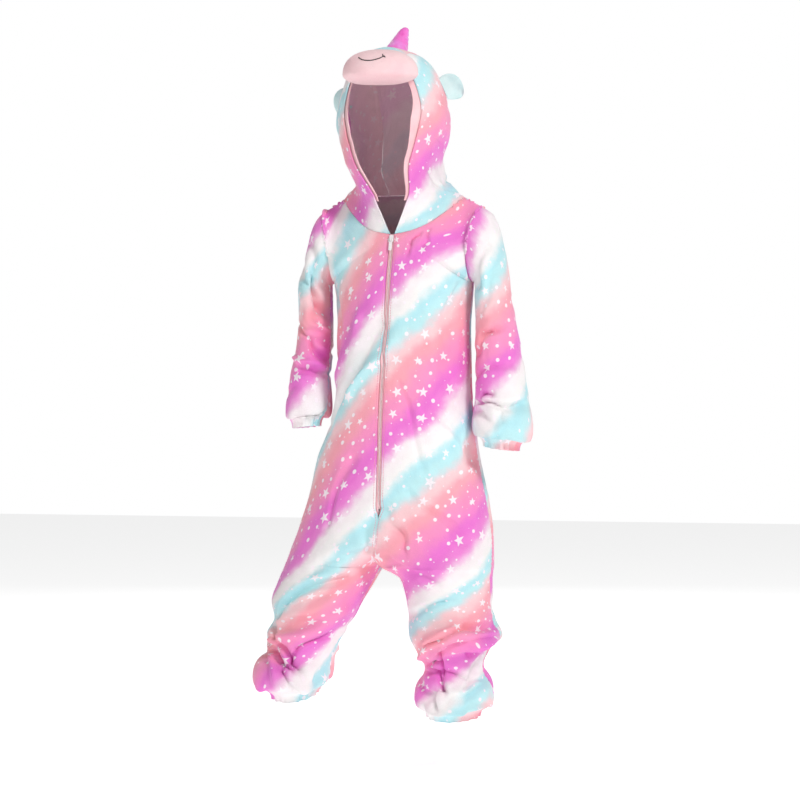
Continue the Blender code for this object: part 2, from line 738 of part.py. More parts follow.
def buildSlider(start, down):
    # Slider body with its bridge, and a pull whose crossbar turns under the bridge
    out = Vector((1.0, 0.0, 0.0)).cross(down).normalized()
    if out.y > 0.0:
        out = -out
    seat = start + down * 0.0085 + out * 0.0018
    frame = Matrix.Translation(seat) @ Matrix((
        (1.0, down.x, out.x), (0.0, down.y, out.y), (0.0, down.z, out.z))).to_4x4()
    white = (0.93, 0.91, 0.91)
    uniteBoxes("zip_slider", [
        ((-0.0037, -0.0060, -0.0021), (0.0037, 0.0060, 0.0000)),
        ((-0.0012, -0.0048, -0.0004), (0.0012, -0.0036, 0.0031)),
        ((-0.0012, 0.0036, -0.0004), (0.0012, 0.0048, 0.0031)),
        ((-0.0012, -0.0048, 0.0022), (0.0012, 0.0048, 0.0034)),
    ], 0.0003, white, frame)
    hinge = seat + out * 0.0012
    turned = Matrix.Translation(hinge) @ frame.to_3x3().to_4x4()
    pull = uniteBoxes("zip_pull", [
        ((-0.0018, -0.0006, -0.0006), (0.0018, 0.0006, 0.0006)),
        ((-0.0027, -0.0008, -0.0006), (-0.0015, 0.0070, 0.0006)),
        ((0.0015, -0.0008, -0.0006), (0.0027, 0.0070, 0.0006)),
        ((-0.0027, 0.0062, -0.0006), (0.0027, 0.0205, 0.0006)),
    ], 0.0002, white, turned)
    pull.data.transform(Matrix.Translation(-hinge))
    pull.location = hinge


def addRoundForm(name, centre, reach, turn, colour, rings=9, around=20, square=2.0):
    # Closed stuffed form with its own reach toward each side
    bm = bmesh.new()
    power = 2.0 / square

    def bend(value):
        return math.copysign(abs(value) ** power, value)

    def place(lat, lon):
        x = bend(math.cos(lat)) * bend(math.cos(lon))
        y = bend(math.cos(lat)) * bend(math.sin(lon))
        z = bend(math.sin(lat))
        point = Vector((
            x * reach["side"],
            y * (reach["back"] if y > 0 else reach["front"]),
            z * (reach["up"] if z > 0 else reach["down"]),
        ))
        return turn(centre + point)

    low = bm.verts.new(place(-math.pi / 2, 0.0))
    high = bm.verts.new(place(math.pi / 2, 0.0))
    lines = []
    for i in range(1, rings):
        lat = -math.pi / 2 + math.pi * i / rings
        lines.append([bm.verts.new(place(lat, 2 * math.pi * j / around)) for j in range(around)])
    for j in range(around):
        k = (j + 1) % around
        bm.faces.new((low, lines[0][k], lines[0][j]))
        bm.faces.new((high, lines[-1][j], lines[-1][k]))
        for first, second in zip(lines, lines[1:]):
            bm.faces.new((first[j], first[k], second[k], second[j]))
    return finishMesh(name, bm, colour, 0.9)


def surfaceTree(pieces, names):
    points = []
    faces = []
    for name in names:
        grid = pieces[name]["grid"]
        base = len(points)
        columns = len(grid[0])
        points += [point for line in grid for point in line]
        for i in range(len(grid) - 1):
            for j in range(columns - 1):
                a = base + i * columns + j
                faces.append((a, a + 1, a + columns + 1, a + columns))
    return BVHTree.FromPolygons(points, faces)


def buildHorn(tree):
    # Stuffed cone with a rounded tip, its foot following the crown
    footRadius = 0.0195
    tipRadius = 0.0055
    lift = 0.0008
    around = 18
    foot = headTurn(Vector((0.004, 0.012, 0.26)))
    tip = Vector((foot.x + 0.0135, foot.y + 0.0120, 0.297))

    def spread(j, radius):
        angle = 2 * math.pi * j / around
        return Vector((math.cos(angle), math.sin(angle), 0.0)) * radius

    def crownUnder(point):
        high = Vector((point.x, point.y, 1.0))
        return tree.ray_cast(high, Vector((0.0, 0.0, -1.0)))[0].z + lift

    bm = bmesh.new()
    lines = []
    for size in (0.25, 0.5, 0.75, 1.0):
        line = []
        for j in range(around):
            point = foot + spread(j, footRadius * size)
            point.z = crownUnder(point)
            line.append(bm.verts.new(point))
        lines.append(line)
    for share, size in ((0.2, 0.88), (0.4, 0.74), (0.6, 0.60), (0.8, 0.45), (0.92, 0.35)):
        line = []
        for j in range(around):
            base = crownUnder(foot + spread(j, footRadius))
            point = foot.lerp(tip, share) + spread(j, footRadius * size)
            point.z = base + (tip.z - base) * share
            line.append(bm.verts.new(point))
        lines.append(line)
    crest = foot.lerp(tip, 0.96)
    crest.z = tip.z - 0.0035
    for degrees in (20, 50, 75):
        angle = math.radians(degrees)
        rise = Vector((0.0, 0.0, 0.0035 * math.sin(angle)))
        line = [bm.verts.new(crest + spread(j, tipRadius * math.cos(angle)) + rise)
                for j in range(around)]
        lines.append(line)
    middle = Vector((foot.x, foot.y, crownUnder(foot)))
    bottom = bm.verts.new(middle)
    top = bm.verts.new(crest + Vector((0.0, 0.0, 0.0036)))
    for j in range(around):
        k = (j + 1) % around
        bm.faces.new((bottom, lines[0][k], lines[0][j]))
        bm.faces.new((top, lines[-1][j], lines[-1][k]))
        for first, second in zip(lines, lines[1:]):
            bm.faces.new((first[j], first[k], second[k], second[j]))
    return finishMesh("horn", bm, (0.88, 0.40, 0.72), 0.9)


def clearOf(tree, point):
    # The point itself, or one just outside the hood's surface where it would be within it
    least = 0.0008
    hit, normal, _, _ = tree.find_nearest(point)
    if normal.dot(hit - hoodMiddle) < 0.0:
        normal = -normal
    height = (point - hit).dot(normal)
    if height < least:
        return point + normal * (least - height)
    return point


def buildEar(name, root, aim, flat, tree):
    # Two-layer lobe, narrow at the root, widest past its middle
    length = 0.050
    halfWide = 0.021
    halfThick = 0.0035
    aim = aim.normalized()
    across = (flat - aim * flat.dot(aim)).normalized()
    thin = aim.cross(across).normalized()
    start = clearOf(tree, root)
    bm = bmesh.new()
    steps = 8
    around = 12
    lines = []
    for i in range(1, steps):
        share = i / steps
        wide = halfWide * math.sin(math.pi * share ** 0.85) ** 0.6
        line = []
        for j in range(around):
            angle = 2 * math.pi * j / around
            bow = 0.006 * math.cos(angle) ** 2
            point = start + aim * length * share + across * wide * math.cos(angle)
            point += thin * (halfThick * math.sin(math.pi * share) ** 0.5 * math.sin(angle) + bow)
            line.append(bm.verts.new(clearOf(tree, point)))
        lines.append(line)
    foot = bm.verts.new(start)
    tip = bm.verts.new(start + aim * length)
    for j in range(around):
        k = (j + 1) % around
        bm.faces.new((foot, lines[0][k], lines[0][j]))
        bm.faces.new((tip, lines[-1][j], lines[-1][k]))
        for first, second in zip(lines, lines[1:]):
            bm.faces.new((first[j], first[k], second[k], second[j]))
    return finishMesh(name, bm, (0.72, 0.91, 0.90), 0.9)


def main():
    for old in list(bpy.data.objects):
        bpy.data.objects.remove(old)
    pieces = clothPieces()
    buildCloth(pieces)
    buildFacings(pieces)
    start, down = buildZip(pieces)
    buildSlider(start, down)
    addRoundForm(
        "muzzle", Vector((0.0, -0.0763, 0.2060)),
        {"side": 0.0620, "front": 0.0600, "back": 0.0065, "up": 0.0400, "down": 0.0175},
        headTurn, (0.96, 0.70, 0.73), rings=10, around=24, square=2.3)
    tree = surfaceTree(pieces, ("hood_side_right", "hood_side_left", "hood_crown"))
    buildHorn(tree)
    buildEar("ear_left", headTurn(Vector((0.066, 0.045, 0.212))),
             Vector((0.62, 0.32, -0.50)), Vector((0.50, 0.135, 0.70)), tree)
    buildEar("ear_right", headTurn(Vector((-0.078, 0.030, 0.200))),
             Vector((-0.34, 0.05, -0.93)), Vector((-0.90, -0.20, 0.35)), tree)


main()
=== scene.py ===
# A hooded one-piece plush suit with a zip, a stuffed muzzle, a horn and two ears.
# Metres, +Z up, front toward -Y. The origin is at the base of the neck.
import math

import bmesh
import bpy
import numpy
from mathutils import Matrix, Vector, noise
from mathutils.bvhtree import BVHTree
from mathutils.kdtree import KDTree


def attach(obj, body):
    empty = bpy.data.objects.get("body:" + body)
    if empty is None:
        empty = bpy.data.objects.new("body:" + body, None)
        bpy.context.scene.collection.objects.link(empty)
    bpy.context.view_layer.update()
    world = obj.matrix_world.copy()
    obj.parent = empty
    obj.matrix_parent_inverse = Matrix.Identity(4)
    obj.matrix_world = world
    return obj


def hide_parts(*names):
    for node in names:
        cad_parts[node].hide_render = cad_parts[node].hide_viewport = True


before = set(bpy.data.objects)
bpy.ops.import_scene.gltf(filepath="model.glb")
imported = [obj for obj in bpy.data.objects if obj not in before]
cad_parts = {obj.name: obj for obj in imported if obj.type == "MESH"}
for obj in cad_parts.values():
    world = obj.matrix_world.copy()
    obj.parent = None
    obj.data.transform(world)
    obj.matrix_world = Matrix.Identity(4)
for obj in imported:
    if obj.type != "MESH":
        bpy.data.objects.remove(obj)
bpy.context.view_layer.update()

# Sizes that the whole suit shares
suit = {
    "clothThick": 0.0024, "facingThick": 0.0016, "tapeThick": 0.0009,
    "seamHalf": 0.00015, "layerGap": 0.0003, "armholeGap": 0.0009, "neckGap": 0.0005,
    "facingGap": 0.0014,
    "shoulderZ": -0.005, "underarmZ": -0.128, "neckFrontZ": -0.053, "neckBackZ": 0.022,
    "crotchZ": -0.594, "zipEndZ": -0.500, "zipHalf": 0.0042,
    "armTopX": 0.132, "armLowX": 0.116, "armDepth": 0.055, "armDip": 0.006,
    "zipNarrows": 0.012, "zipShut": 0.004, "rowEase": 0.35, "sleeveBlend": 0.2,
}
# Steps of the cloth grids; the crown strip starts at crownShare of the way over the hood
steps = {"yoke": 70, "torso": 128, "leg": 100, "across": 68, "sleeve": 112, "crownShare": 12 / 14}
head = {"turn": -2.0, "shift": -0.021, "low": 0.005, "high": 0.070}


def makeTable(columns, rows):
    return {"columns": columns.split(), "rows": sorted(rows)}


# Torso: side seams, centre seam, depth before and behind, and how far the centre seam turns under
torso = makeTable(
    "z outRight outLeft centre sideY front back close",
    [
        (0.022, 0.116, 0.116, 0.000, 0.000, 0.070, 0.075, 0.00),
        (-0.053, 0.116, 0.116, 0.000, 0.000, 0.077, 0.086, 0.00),
        (-0.128, 0.116, 0.116, 0.000, 0.000, 0.100, 0.094, 0.00),
        (-0.200, 0.111, 0.112, -0.001, 0.000, 0.113, 0.094, 0.00),
        (-0.300, 0.111, 0.113, -0.006, 0.000, 0.118, 0.094, 0.00),
        (-0.360, 0.121, 0.119, -0.009, 0.000, 0.118, 0.100, 0.00),
        (-0.420, 0.146, 0.128, -0.011, 0.000, 0.116, 0.110, 0.00),
        (-0.480, 0.160, 0.140, -0.013, 0.000, 0.113, 0.114, 0.03),
        (-0.540, 0.178, 0.149, -0.018, -0.005, 0.107, 0.110, 0.20),
        (-0.575, 0.190, 0.151, -0.027, -0.010, 0.100, 0.104, 0.58),
        (-0.594, 0.196, 0.152, -0.034, -0.015, 0.096, 0.100, 1.00),
    ],
)

# Legs: outer seam, inseam, middle of the depth, depth before and behind, and the ring's tilt
rightLeg = makeTable(
    "z outer inner midY front back tilt",
    [
        (-0.594, 0.196, 0.034, -0.015, 0.096, 0.100, 0.00),
        (-0.625, 0.206, 0.048, -0.028, 0.092, 0.094, 0.00),
        (-0.652, 0.212, 0.061, -0.040, 0.087, 0.088, 0.02),
        (-0.680, 0.204, 0.074, -0.050, 0.076, 0.080, 0.04),
        (-0.705, 0.214, 0.088, -0.060, 0.080, 0.082, 0.08),
        (-0.730, 0.212, 0.100, -0.068, 0.070, 0.074, 0.12),
        (-0.751, 0.226, 0.106, -0.074, 0.079, 0.078, 0.16),
        (-0.776, 0.214, 0.112, -0.078, 0.068, 0.066, 0.20),
    ],
)
leftLeg = makeTable(
    "z outer inner midY front back tilt",
    [
        (-0.594, 0.152, -0.034, -0.015, 0.096, 0.100, 0.00),
        (-0.614, 0.149, 0.001, -0.012, 0.094, 0.098, 0.00),
        (-0.650, 0.150, 0.010, -0.010, 0.088, 0.094, 0.00),
        (-0.680, 0.154, 0.013, -0.010, 0.083, 0.090, 0.00),
        (-0.706, 0.166, 0.015, -0.010, 0.092, 0.092, 0.03),
        (-0.733, 0.144, 0.027, -0.010, 0.072, 0.078, 0.05),
        (-0.760, 0.137, 0.041, -0.010, 0.063, 0.070, 0.05),
        (-0.787, 0.150, 0.028, -0.012, 0.077, 0.078, 0.06),
        (-0.815, 0.146, 0.031, -0.014, 0.071, 0.074, 0.08),
    ],
)

# Sleeves: where the ring's body side and outer side lie, its middle in Y and its half depth
rightSleeve = makeTable(
    "along inX inZ outX outZ midY depth",
    [
        (0.00, 0.1160, -0.128, 0.1320, -0.005, 0.000, 0.055),
        (0.06, 0.1205, -0.129, 0.1460, -0.020, -0.001, 0.055),
        (0.12, 0.1235, -0.132, 0.1570, -0.047, -0.002, 0.054),
        (0.20, 0.1245, -0.142, 0.1670, -0.090, -0.004, 0.053),
        (0.32, 0.1240, -0.160, 0.1750, -0.138, -0.006, 0.051),
        (0.45, 0.1225, -0.193, 0.1745, -0.182, -0.010, 0.047),
        (0.62, 0.1205, -0.240, 0.1790, -0.238, -0.016, 0.046),
        (0.80, 0.1220, -0.290, 0.1870, -0.292, -0.024, 0.047),
        (0.92, 0.1260, -0.322, 0.1890, -0.325, -0.030, 0.046),
        (1.00, 0.1310, -0.340, 0.1850, -0.344, -0.034, 0.041),
    ],
)
leftSleeve = makeTable(
    "along inX inZ outX outZ midY depth",
    [
        (0.00, 0.1160, -0.128, 0.1320, -0.005, 0.000, 0.055),
        (0.06, 0.1205, -0.129, 0.1500, -0.018, -0.001, 0.055),
        (0.12, 0.1235, -0.132, 0.1620, -0.045, -0.001, 0.055),
        (0.20, 0.1245, -0.142, 0.1730, -0.090, -0.002, 0.054),
        (0.32, 0.1250, -0.162, 0.1810, -0.145, -0.004, 0.053),
        (0.45, 0.1245, -0.195, 0.1890, -0.190, -0.006, 0.050),
        (0.62, 0.1245, -0.240, 0.1985, -0.240, -0.010, 0.050),
        (0.80, 0.1260, -0.298, 0.2100, -0.300, -0.014, 0.052),
        (0.92, 0.1270, -0.340, 0.2140, -0.346, -0.018, 0.054),
        (1.00, 0.1340, -0.372, 0.2050, -0.380, -0.020, 0.048),
    ],
)

# Hood: arches like ribs of a bonnet, from the front opening (0) to the nape seam (7)
hoodRibs = makeTable(
    "rib footX footY footZ neckX neckY neckZ wideX wideY wideZ crownY crownZ",
    [
        (0, 0.0042, -0.077, -0.053, 0.0340, -0.079, 0.022, 0.0650, -0.066, 0.140, -0.072, 0.240),
        (1, 0.0290, -0.074, -0.048, 0.0530, -0.060, 0.030, 0.0800, -0.040, 0.140, -0.035, 0.257),
        (2, 0.0530, -0.061, -0.037, 0.0640, -0.036, 0.040, 0.0915, -0.008, 0.138, 0.015, 0.257),
        (3, 0.0750, -0.041, -0.019, 0.0685, -0.015, 0.047, 0.0930, 0.022, 0.130, 0.065, 0.234),
        (4, 0.0910, -0.023, -0.003, 0.0715, 0.000, 0.047, 0.0870, 0.045, 0.112, 0.098, 0.184),
        (5, 0.0990, -0.011, 0.006, 0.0760, 0.010, 0.040, 0.0775, 0.055, 0.085, 0.106, 0.128),
        (6, 0.1030, -0.004, 0.0095, 0.0870, 0.014, 0.027, 0.0770, 0.050, 0.050, 0.094, 0.074),
        (7, 0.1040, 0.000, 0.010, 0.0990, 0.018, 0.012, 0.0790, 0.044, 0.017, 0.075, 0.022),
    ],
)
hoodShape = {"places": (0.0, 0.2, 0.5, 0.68, 0.84, 1.0), "temple": 35.0, "crownSide": 62.0,
             "square": 0.8, "middle": Vector((-0.01, 0.01, 0.11))}


def readAt(table, name, at):
    # Smooth value of a named column, with no overshoot between the rows
    rows = table["rows"]
    column = table["columns"].index(name)
    last = len(rows) - 1
    at = min(max(at, rows[0][0]), rows[last][0])
    first = 0
    while first < last - 1 and rows[first + 1][0] <= at:
        first += 1

    def rise(i):
        return (rows[i + 1][column] - rows[i][column]) / (rows[i + 1][0] - rows[i][0])

    def slope(i):
        if i == 0:
            return rise(0)
        if i == last:
            return rise(last - 1)
        before, after = rise(i - 1), rise(i)
        if before * after <= 0.0:
            return 0.0
        return 2.0 * before * after / (before + after)

    span = rows[first + 1][0] - rows[first][0]
    f = (at - rows[first][0]) / span
    low, high = rows[first][column], rows[first + 1][column]
    return (
        low * (1 + 2 * f) * (1 - f) ** 2
        + slope(first) * span * f * (1 - f) ** 2
        + high * f * f * (3 - 2 * f)
        + slope(first + 1) * span * f * f * (f - 1)
    )


def ramp(low, high, value):
    f = numpy.clip((value - low) / (high - low), 0.0, 1.0)
    return f * f * (3 - 2 * f)


def headTurn(point):
    weight = float(ramp(head["low"], head["high"], point.z))
    turn = math.radians(head["turn"]) * weight
    x = point.x * math.cos(turn) + point.y * math.sin(turn) + head["shift"] * weight
    y = -point.x * math.sin(turn) + point.y * math.cos(turn)
    return Vector((x, y, point.z))


def ribControl(rib):
    def place(name):
        return Vector([readAt(hoodRibs, name + axis, rib) for axis in "XYZ"])

    foot, neck, wide = place("foot"), place("neck"), place("wide")
    crown = Vector((0.0, readAt(hoodRibs, "crownY", rib), readAt(hoodRibs, "crownZ", rib)))
    points = [foot, neck, wide]
    for degrees in (hoodShape["temple"], hoodShape["crownSide"]):
        angle = math.radians(degrees)
        point = wide.lerp(crown, math.sin(angle))
        point.x = wide.x * math.cos(angle) ** hoodShape["square"]
        points.append(point)
    points.append(crown)
    mirrored = points[-2].copy()
    mirrored.x = -mirrored.x
    return points + [mirrored]


ribCache = {}


def ribPoint(side, rib, u):
    # Point on one half of a hood arch, from the neck seam (0) to the crown's middle (1)
    key = round(rib, 6)
    if key not in ribCache:
        ribCache[key] = ribControl(rib)
    points = ribCache[key]
    places = list(hoodShape["places"])
    last = len(places) - 2
    places.append(2.0 - places[-2])
    i = 0
    while i < last and places[i + 1] <= u:
        i += 1

    def tangent(k):
        if k == 0:
            return (points[1] - points[0]) / (places[1] - places[0])
        return (points[k + 1] - points[k - 1]) / (places[k + 1] - places[k - 1])

    span = places[i + 1] - places[i]
    f = (u - places[i]) / span
    point = (
        points[i] * ((1 + 2 * f) * (1 - f) ** 2)
        + tangent(i) * (span * f * (1 - f) ** 2)
        + points[i + 1] * (f * f * (3 - 2 * f))
        + tangent(i + 1) * (span * f * f * (f - 1))
    )
    point.x *= side
    return headTurn(point)


def armPoint(side, angle):
    # Armhole seam: angle 0 at the shoulder, pi at the underarm, forward where sin is above zero
    high, low = suit["shoulderZ"], suit["underarmZ"]
    z = (high + low) / 2 + (high - low) / 2 * math.cos(angle)
    share = (z - low) / (high - low)
    x = suit["armLowX"] + (suit["armTopX"] - suit["armLowX"]) * share
    x -= suit["armDip"] * math.sin(angle) ** 2
    return Vector((side * x, -suit["armDepth"] * math.sin(angle), z))


def zipEdge(z):
    low, high = suit["zipEndZ"] - suit["zipNarrows"], suit["zipEndZ"] + suit["zipShut"]
    return suit["zipHalf"] * float(ramp(low, high, z))


def rowLevel(start, f):
    return start + (suit["crotchZ"] - start) * f * (1.0 + suit["rowEase"] * (1.0 - f))


def bodyPoint(side, face, t, s):
    # t: 0 shoulder seam, 1 underarm, 2 crotch, 3 ankle; s: 0 centre seam or inseam, 1 side seam
    depthName = "front" if face < 0 else "back"
    if t <= 1.0:
        inner = ribPoint(side, 7.0 * (1.0 - t), 0.0) if face < 0 else ribPoint(side, 7.0, t)
        outer = armPoint(side, -face * math.pi * t)
        point = inner.lerp(outer, math.sin(s * math.pi / 2))
        fuller = readAt(torso, depthName, point.z) / readAt(torso, depthName, inner.z)
        point.y = outer.y + (inner.y * fuller - outer.y) * math.cos(s * math.pi / 2)
        return point
    if t <= 2.0:
        innerZ = rowLevel(suit["neckFrontZ"] if face < 0 else suit["neckBackZ"], t - 1.0)
        outerZ = rowLevel(suit["underarmZ"], t - 1.0)
        close = readAt(torso, "close", innerZ)
        inner = readAt(torso, "centre", innerZ)
        if face < 0:
            inner += side * zipEdge(innerZ)
        outer = side * readAt(torso, "outLeft" if side > 0 else "outRight", outerZ)
        midY = readAt(torso, "sideY", outerZ)
        tilt = 0.0
    else:
        leg = leftLeg if side > 0 else rightLeg
        innerZ = suit["crotchZ"] + (leg["rows"][0][0] - suit["crotchZ"]) * (t - 2.0)
        outerZ = innerZ
        close = 1.0
        inner = side * readAt(leg, "inner", innerZ)
        outer = side * readAt(leg, "outer", innerZ)
        midY = readAt(leg, "midY", innerZ)
        depth = readAt(leg, depthName, innerZ)
        tilt = readAt(leg, "tilt", innerZ)
    half = (outer - inner) / (1.0 + close)
    start = -math.asin(min(close, 1.0))
    angle = start + (math.pi / 2 - start) * s
    share = (math.sin(angle) + close) / (1.0 + close)
    if t <= 2.0:
        depth = readAt(torso, depthName, innerZ + (outerZ - innerZ) * share)
    y = midY + face * depth * math.cos(angle)
    z = innerZ + (outerZ - innerZ) * share + tilt * (y - midY)
    return Vector((outer - half + half * math.sin(angle), y, z))


def sleeveRing(side, at):
    table = leftSleeve if side > 0 else rightSleeve
    low = Vector((side * readAt(table, "inX", at), 0.0, readAt(table, "inZ", at)))
    high = Vector((side * readAt(table, "outX", at), 0.0, readAt(table, "outZ", at)))
    return low, high, readAt(table, "midY", at), readAt(table, "depth", at)


def sleeveRow(side, t, angles):
    def place(ring, angle):
        low, high, midY, depth = ring
        point = low.lerp(high, (1 + math.cos(angle)) / 2)
        point.y = midY - depth * math.sin(angle)
        return point

    here, first = sleeveRing(side, t), sleeveRing(side, 0.0)
    weight = max(0.0, 1.0 - t / suit["sleeveBlend"]) ** 2
    return [place(here, angle) + (armPoint(side, angle) - place(first, angle)) * weight
            for angle in angles]


def seamMarks(count, seams=(0.0, 1.0), near=(0.22, 0.55)):
    # Even steps from 0 to 1, with closer ones beside each seam
    marks = {round(i / count, 6) for i in range(count + 1)}
    for seam in seams:
        for share in near:
            marks.update(round(seam + way * share / count, 6) for way in (-1, 1))
    return sorted(mark for mark in marks if 0.0 <= mark <= 1.0)


crownShare = steps["crownShare"]
yokeMarks = seamMarks(steps["yoke"], (0.0, crownShare, 1.0))
acrossMarks = seamMarks(steps["across"])
sideMarks = [mark for mark in yokeMarks if mark <= crownShare + 1e-6]
crownMarks = [mark for mark in yokeMarks if mark >= crownShare - 1e-6]


def bodyGrid(side, face):
    marks = list(yokeMarks)
    marks += [1.0 + i / steps["torso"] for i in range(1, steps["torso"] + 1)]
    marks += [2.0 + mark for mark in seamMarks(steps["leg"], (1.0,))[1:]]
    return numpy.array([[bodyPoint(side, face, t, s) for s in acrossMarks] for t in marks])


def sleeveGrid(side):
    angles = [math.pi * mark for mark in reversed(yokeMarks)]
    angles += [-math.pi * mark for mark in yokeMarks[1:]]
    return numpy.array([sleeveRow(side, t, angles) for t in seamMarks(steps["sleeve"])])


def hoodSideGrid(side):
    return numpy.array([[ribPoint(side, 7.0 * mark, u) for u in sideMarks] for mark in yokeMarks])


def hoodCrownGrid():
    grid = []
    for mark in yokeMarks:
        right = [ribPoint(-1, 7.0 * mark, u) for u in crownMarks]
        left = [ribPoint(1, 7.0 * mark, u) for u in reversed(crownMarks[:-1])]
        grid.append(right + left)
    return numpy.array(grid)


# Folds in the cloth: group, face, two ends in X and Z, width, and height (below zero is a trough)
foldRows = [
    # Body front: from the chest to the hip, over the belly, at the crotch
    ("body", -1, -0.050, -0.190, -0.100, -0.290, 0.012, 0.0025),
    ("body", -1, -0.017, -0.500, -0.036, -0.560, 0.012, -0.0040),
    ("body", -1, 0.004, -0.500, 0.030, -0.560, 0.012, -0.0035),
    ("body", -1, 0.060, -0.330, 0.112, -0.430, 0.016, 0.0030),
    ("body", -1, 0.022, -0.300, 0.070, -0.452, 0.010, -0.0022),
    ("body", -1, 0.100, -0.140, 0.082, -0.250, 0.009, -0.0030),
    ("body", -1, 0.112, -0.180, 0.100, -0.300, 0.008, 0.0022),
    ("body", -1, -0.104, -0.150, -0.094, -0.260, 0.009, -0.0030),
    ("body", -1, -0.112, -0.260, -0.120, -0.370, 0.009, -0.0026),
    ("body", -1, -0.060, -0.420, -0.104, -0.520, 0.012, -0.0026),
    ("body", -1, 0.044, -0.470, 0.118, -0.548, 0.012, -0.0026),
    ("body", -1, 0.128, -0.330, 0.122, -0.420, 0.010, -0.0030),
    ("body", -1, -0.030, -0.560, -0.120, -0.600, 0.011, -0.0030),
    ("body", -1, 0.000, -0.575, 0.075, -0.618, 0.010, -0.0030),
    # Legs before: the knees and the bunched ankles
    ("body", -1, -0.080, -0.672, -0.185, -0.718, 0.013, 0.0050),
    ("body", -1, -0.205, -0.718, -0.150, -0.766, 0.011, -0.0050),
    ("body", -1, -0.100, -0.700, -0.160, -0.742, 0.008, -0.0040),
    ("body", -1, -0.180, -0.745, -0.226, -0.728, 0.006, -0.0030),
    ("body", -1, 0.044, -0.733, 0.098, -0.700, 0.013, 0.0050),
    ("body", -1, 0.098, -0.700, 0.160, -0.705, 0.013, 0.0050),
    ("body", -1, 0.040, -0.784, 0.090, -0.793, 0.010, -0.0050),
    ("body", -1, 0.020, -0.668, 0.092, -0.650, 0.009, -0.0032),
    ("body", -1, 0.060, -0.762, 0.142, -0.770, 0.007, -0.0034),
    ("body", -1, 0.100, -0.800, 0.150, -0.782, 0.007, -0.0034),
    # Body back
    ("body", 1, 0.090, -0.230, 0.020, -0.330, 0.016, -0.0040),
    ("body", 1, -0.095, -0.250, -0.030, -0.340, 0.015, -0.0035),
    ("body", 1, 0.020, -0.470, 0.100, -0.530, 0.016, 0.0040),
    ("body", 1, -0.040, -0.480, -0.130, -0.540, 0.016, 0.0040),
    ("body", 1, 0.104, -0.130, 0.070, -0.220, 0.010, -0.0030),
    ("body", 1, -0.104, -0.140, -0.074, -0.240, 0.010, -0.0030),
    ("body", 1, 0.105, -0.330, 0.040, -0.410, 0.011, -0.0028),
    ("body", 1, -0.110, -0.340, -0.050, -0.430, 0.011, -0.0028),
    ("body", 1, 0.000, -0.520, 0.070, -0.590, 0.010, -0.0034),
    ("body", 1, -0.030, -0.530, -0.110, -0.600, 0.010, -0.0034),
    ("body", 1, 0.120, -0.470, 0.060, -0.560, 0.010, -0.0024),
    # Legs behind
    ("body", 1, -0.190, -0.660, -0.090, -0.690, 0.012, -0.0060),
    ("body", 1, 0.030, -0.690, 0.140, -0.665, 0.012, -0.0060),
    ("body", 1, 0.040, -0.765, 0.130, -0.745, 0.012, -0.0050),
    ("body", 1, -0.200, -0.712, -0.110, -0.735, 0.010, 0.0040),
    ("body", 1, -0.205, -0.745, -0.130, -0.758, 0.007, -0.0036),
    ("body", 1, 0.030, -0.720, 0.140, -0.708, 0.011, 0.0040),
    ("body", 1, 0.040, -0.795, 0.135, -0.786, 0.007, -0.0036),
    # Sleeves
    ("sleeve", -1, -0.176, -0.196, -0.130, -0.226, 0.008, -0.0028),
    ("sleeve", -1, -0.172, -0.250, -0.128, -0.270, 0.007, 0.0030),
    ("sleeve", -1, -0.184, -0.306, -0.140, -0.300, 0.007, -0.0026),
    ("sleeve", -1, -0.150, -0.070, -0.128, -0.130, 0.009, -0.0034),
    ("sleeve", -1, -0.166, -0.100, -0.140, -0.150, 0.008, -0.0022),
    ("sleeve", -1, 0.130, -0.240, 0.165, -0.205, 0.012, -0.0045),
    ("sleeve", -1, 0.134, -0.284, 0.188, -0.262, 0.010, -0.0030),
    ("sleeve", -1, 0.150, -0.070, 0.132, -0.135, 0.009, -0.0034),
    ("sleeve", -1, 0.170, -0.110, 0.144, -0.170, 0.008, -0.0024),
    ("sleeve", -1, 0.186, -0.170, 0.150, -0.216, 0.009, -0.0024),
    ("sleeve", 1, -0.175, -0.200, -0.125, -0.235, 0.012, -0.0050),
    ("sleeve", 1, -0.182, -0.260, -0.130, -0.282, 0.010, -0.0040),
    ("sleeve", 1, -0.150, -0.080, -0.128, -0.140, 0.010, -0.0034),
    ("sleeve", 1, -0.176, -0.160, -0.140, -0.186, 0.008, -0.0026),
    ("sleeve", 1, 0.130, -0.215, 0.185, -0.250, 0.012, -0.0050),
    ("sleeve", 1, 0.135, -0.320, 0.195, -0.300, 0.012, -0.0050),
    ("sleeve", 1, 0.152, -0.080, 0.130, -0.145, 0.010, -0.0034),
    ("sleeve", 1, 0.180, -0.160, 0.146, -0.190, 0.008, -0.0026),
    # Hood: soft troughs in its sides, behind and low in front
    ("hoodSide", 1, 0.010, 0.030, 0.075, 0.060, 0.010, -0.0026),
    ("hoodSide", 1, -0.030, 0.050, 0.020, 0.010, 0.008, -0.0024),
    ("hoodSide", 1, -0.010, 0.110, 0.060, 0.085, 0.010, -0.0020),
    ("hoodSide", 1, 0.030, 0.170, 0.080, 0.130, 0.010, -0.0018),
    ("hoodSide", -1, 0.000, 0.030, 0.070, 0.055, 0.010, -0.0026),
    ("hoodSide", -1, -0.035, 0.055, 0.015, 0.015, 0.008, -0.0024),
    ("hoodSide", -1, -0.010, 0.115, 0.055, 0.090, 0.010, -0.0020),
    ("hoodSide", -1, 0.030, 0.165, 0.080, 0.125, 0.010, -0.0018),
]
# How the photograph lies over the suit: the pixel of the origin's column and row, a pixel's size,
# and the level, distance and turn of the camera
photo = {"column": 404, "row": 205, "pixel": 0.00165, "level": -0.322, "distance": 4.0, "turn": 15.0}
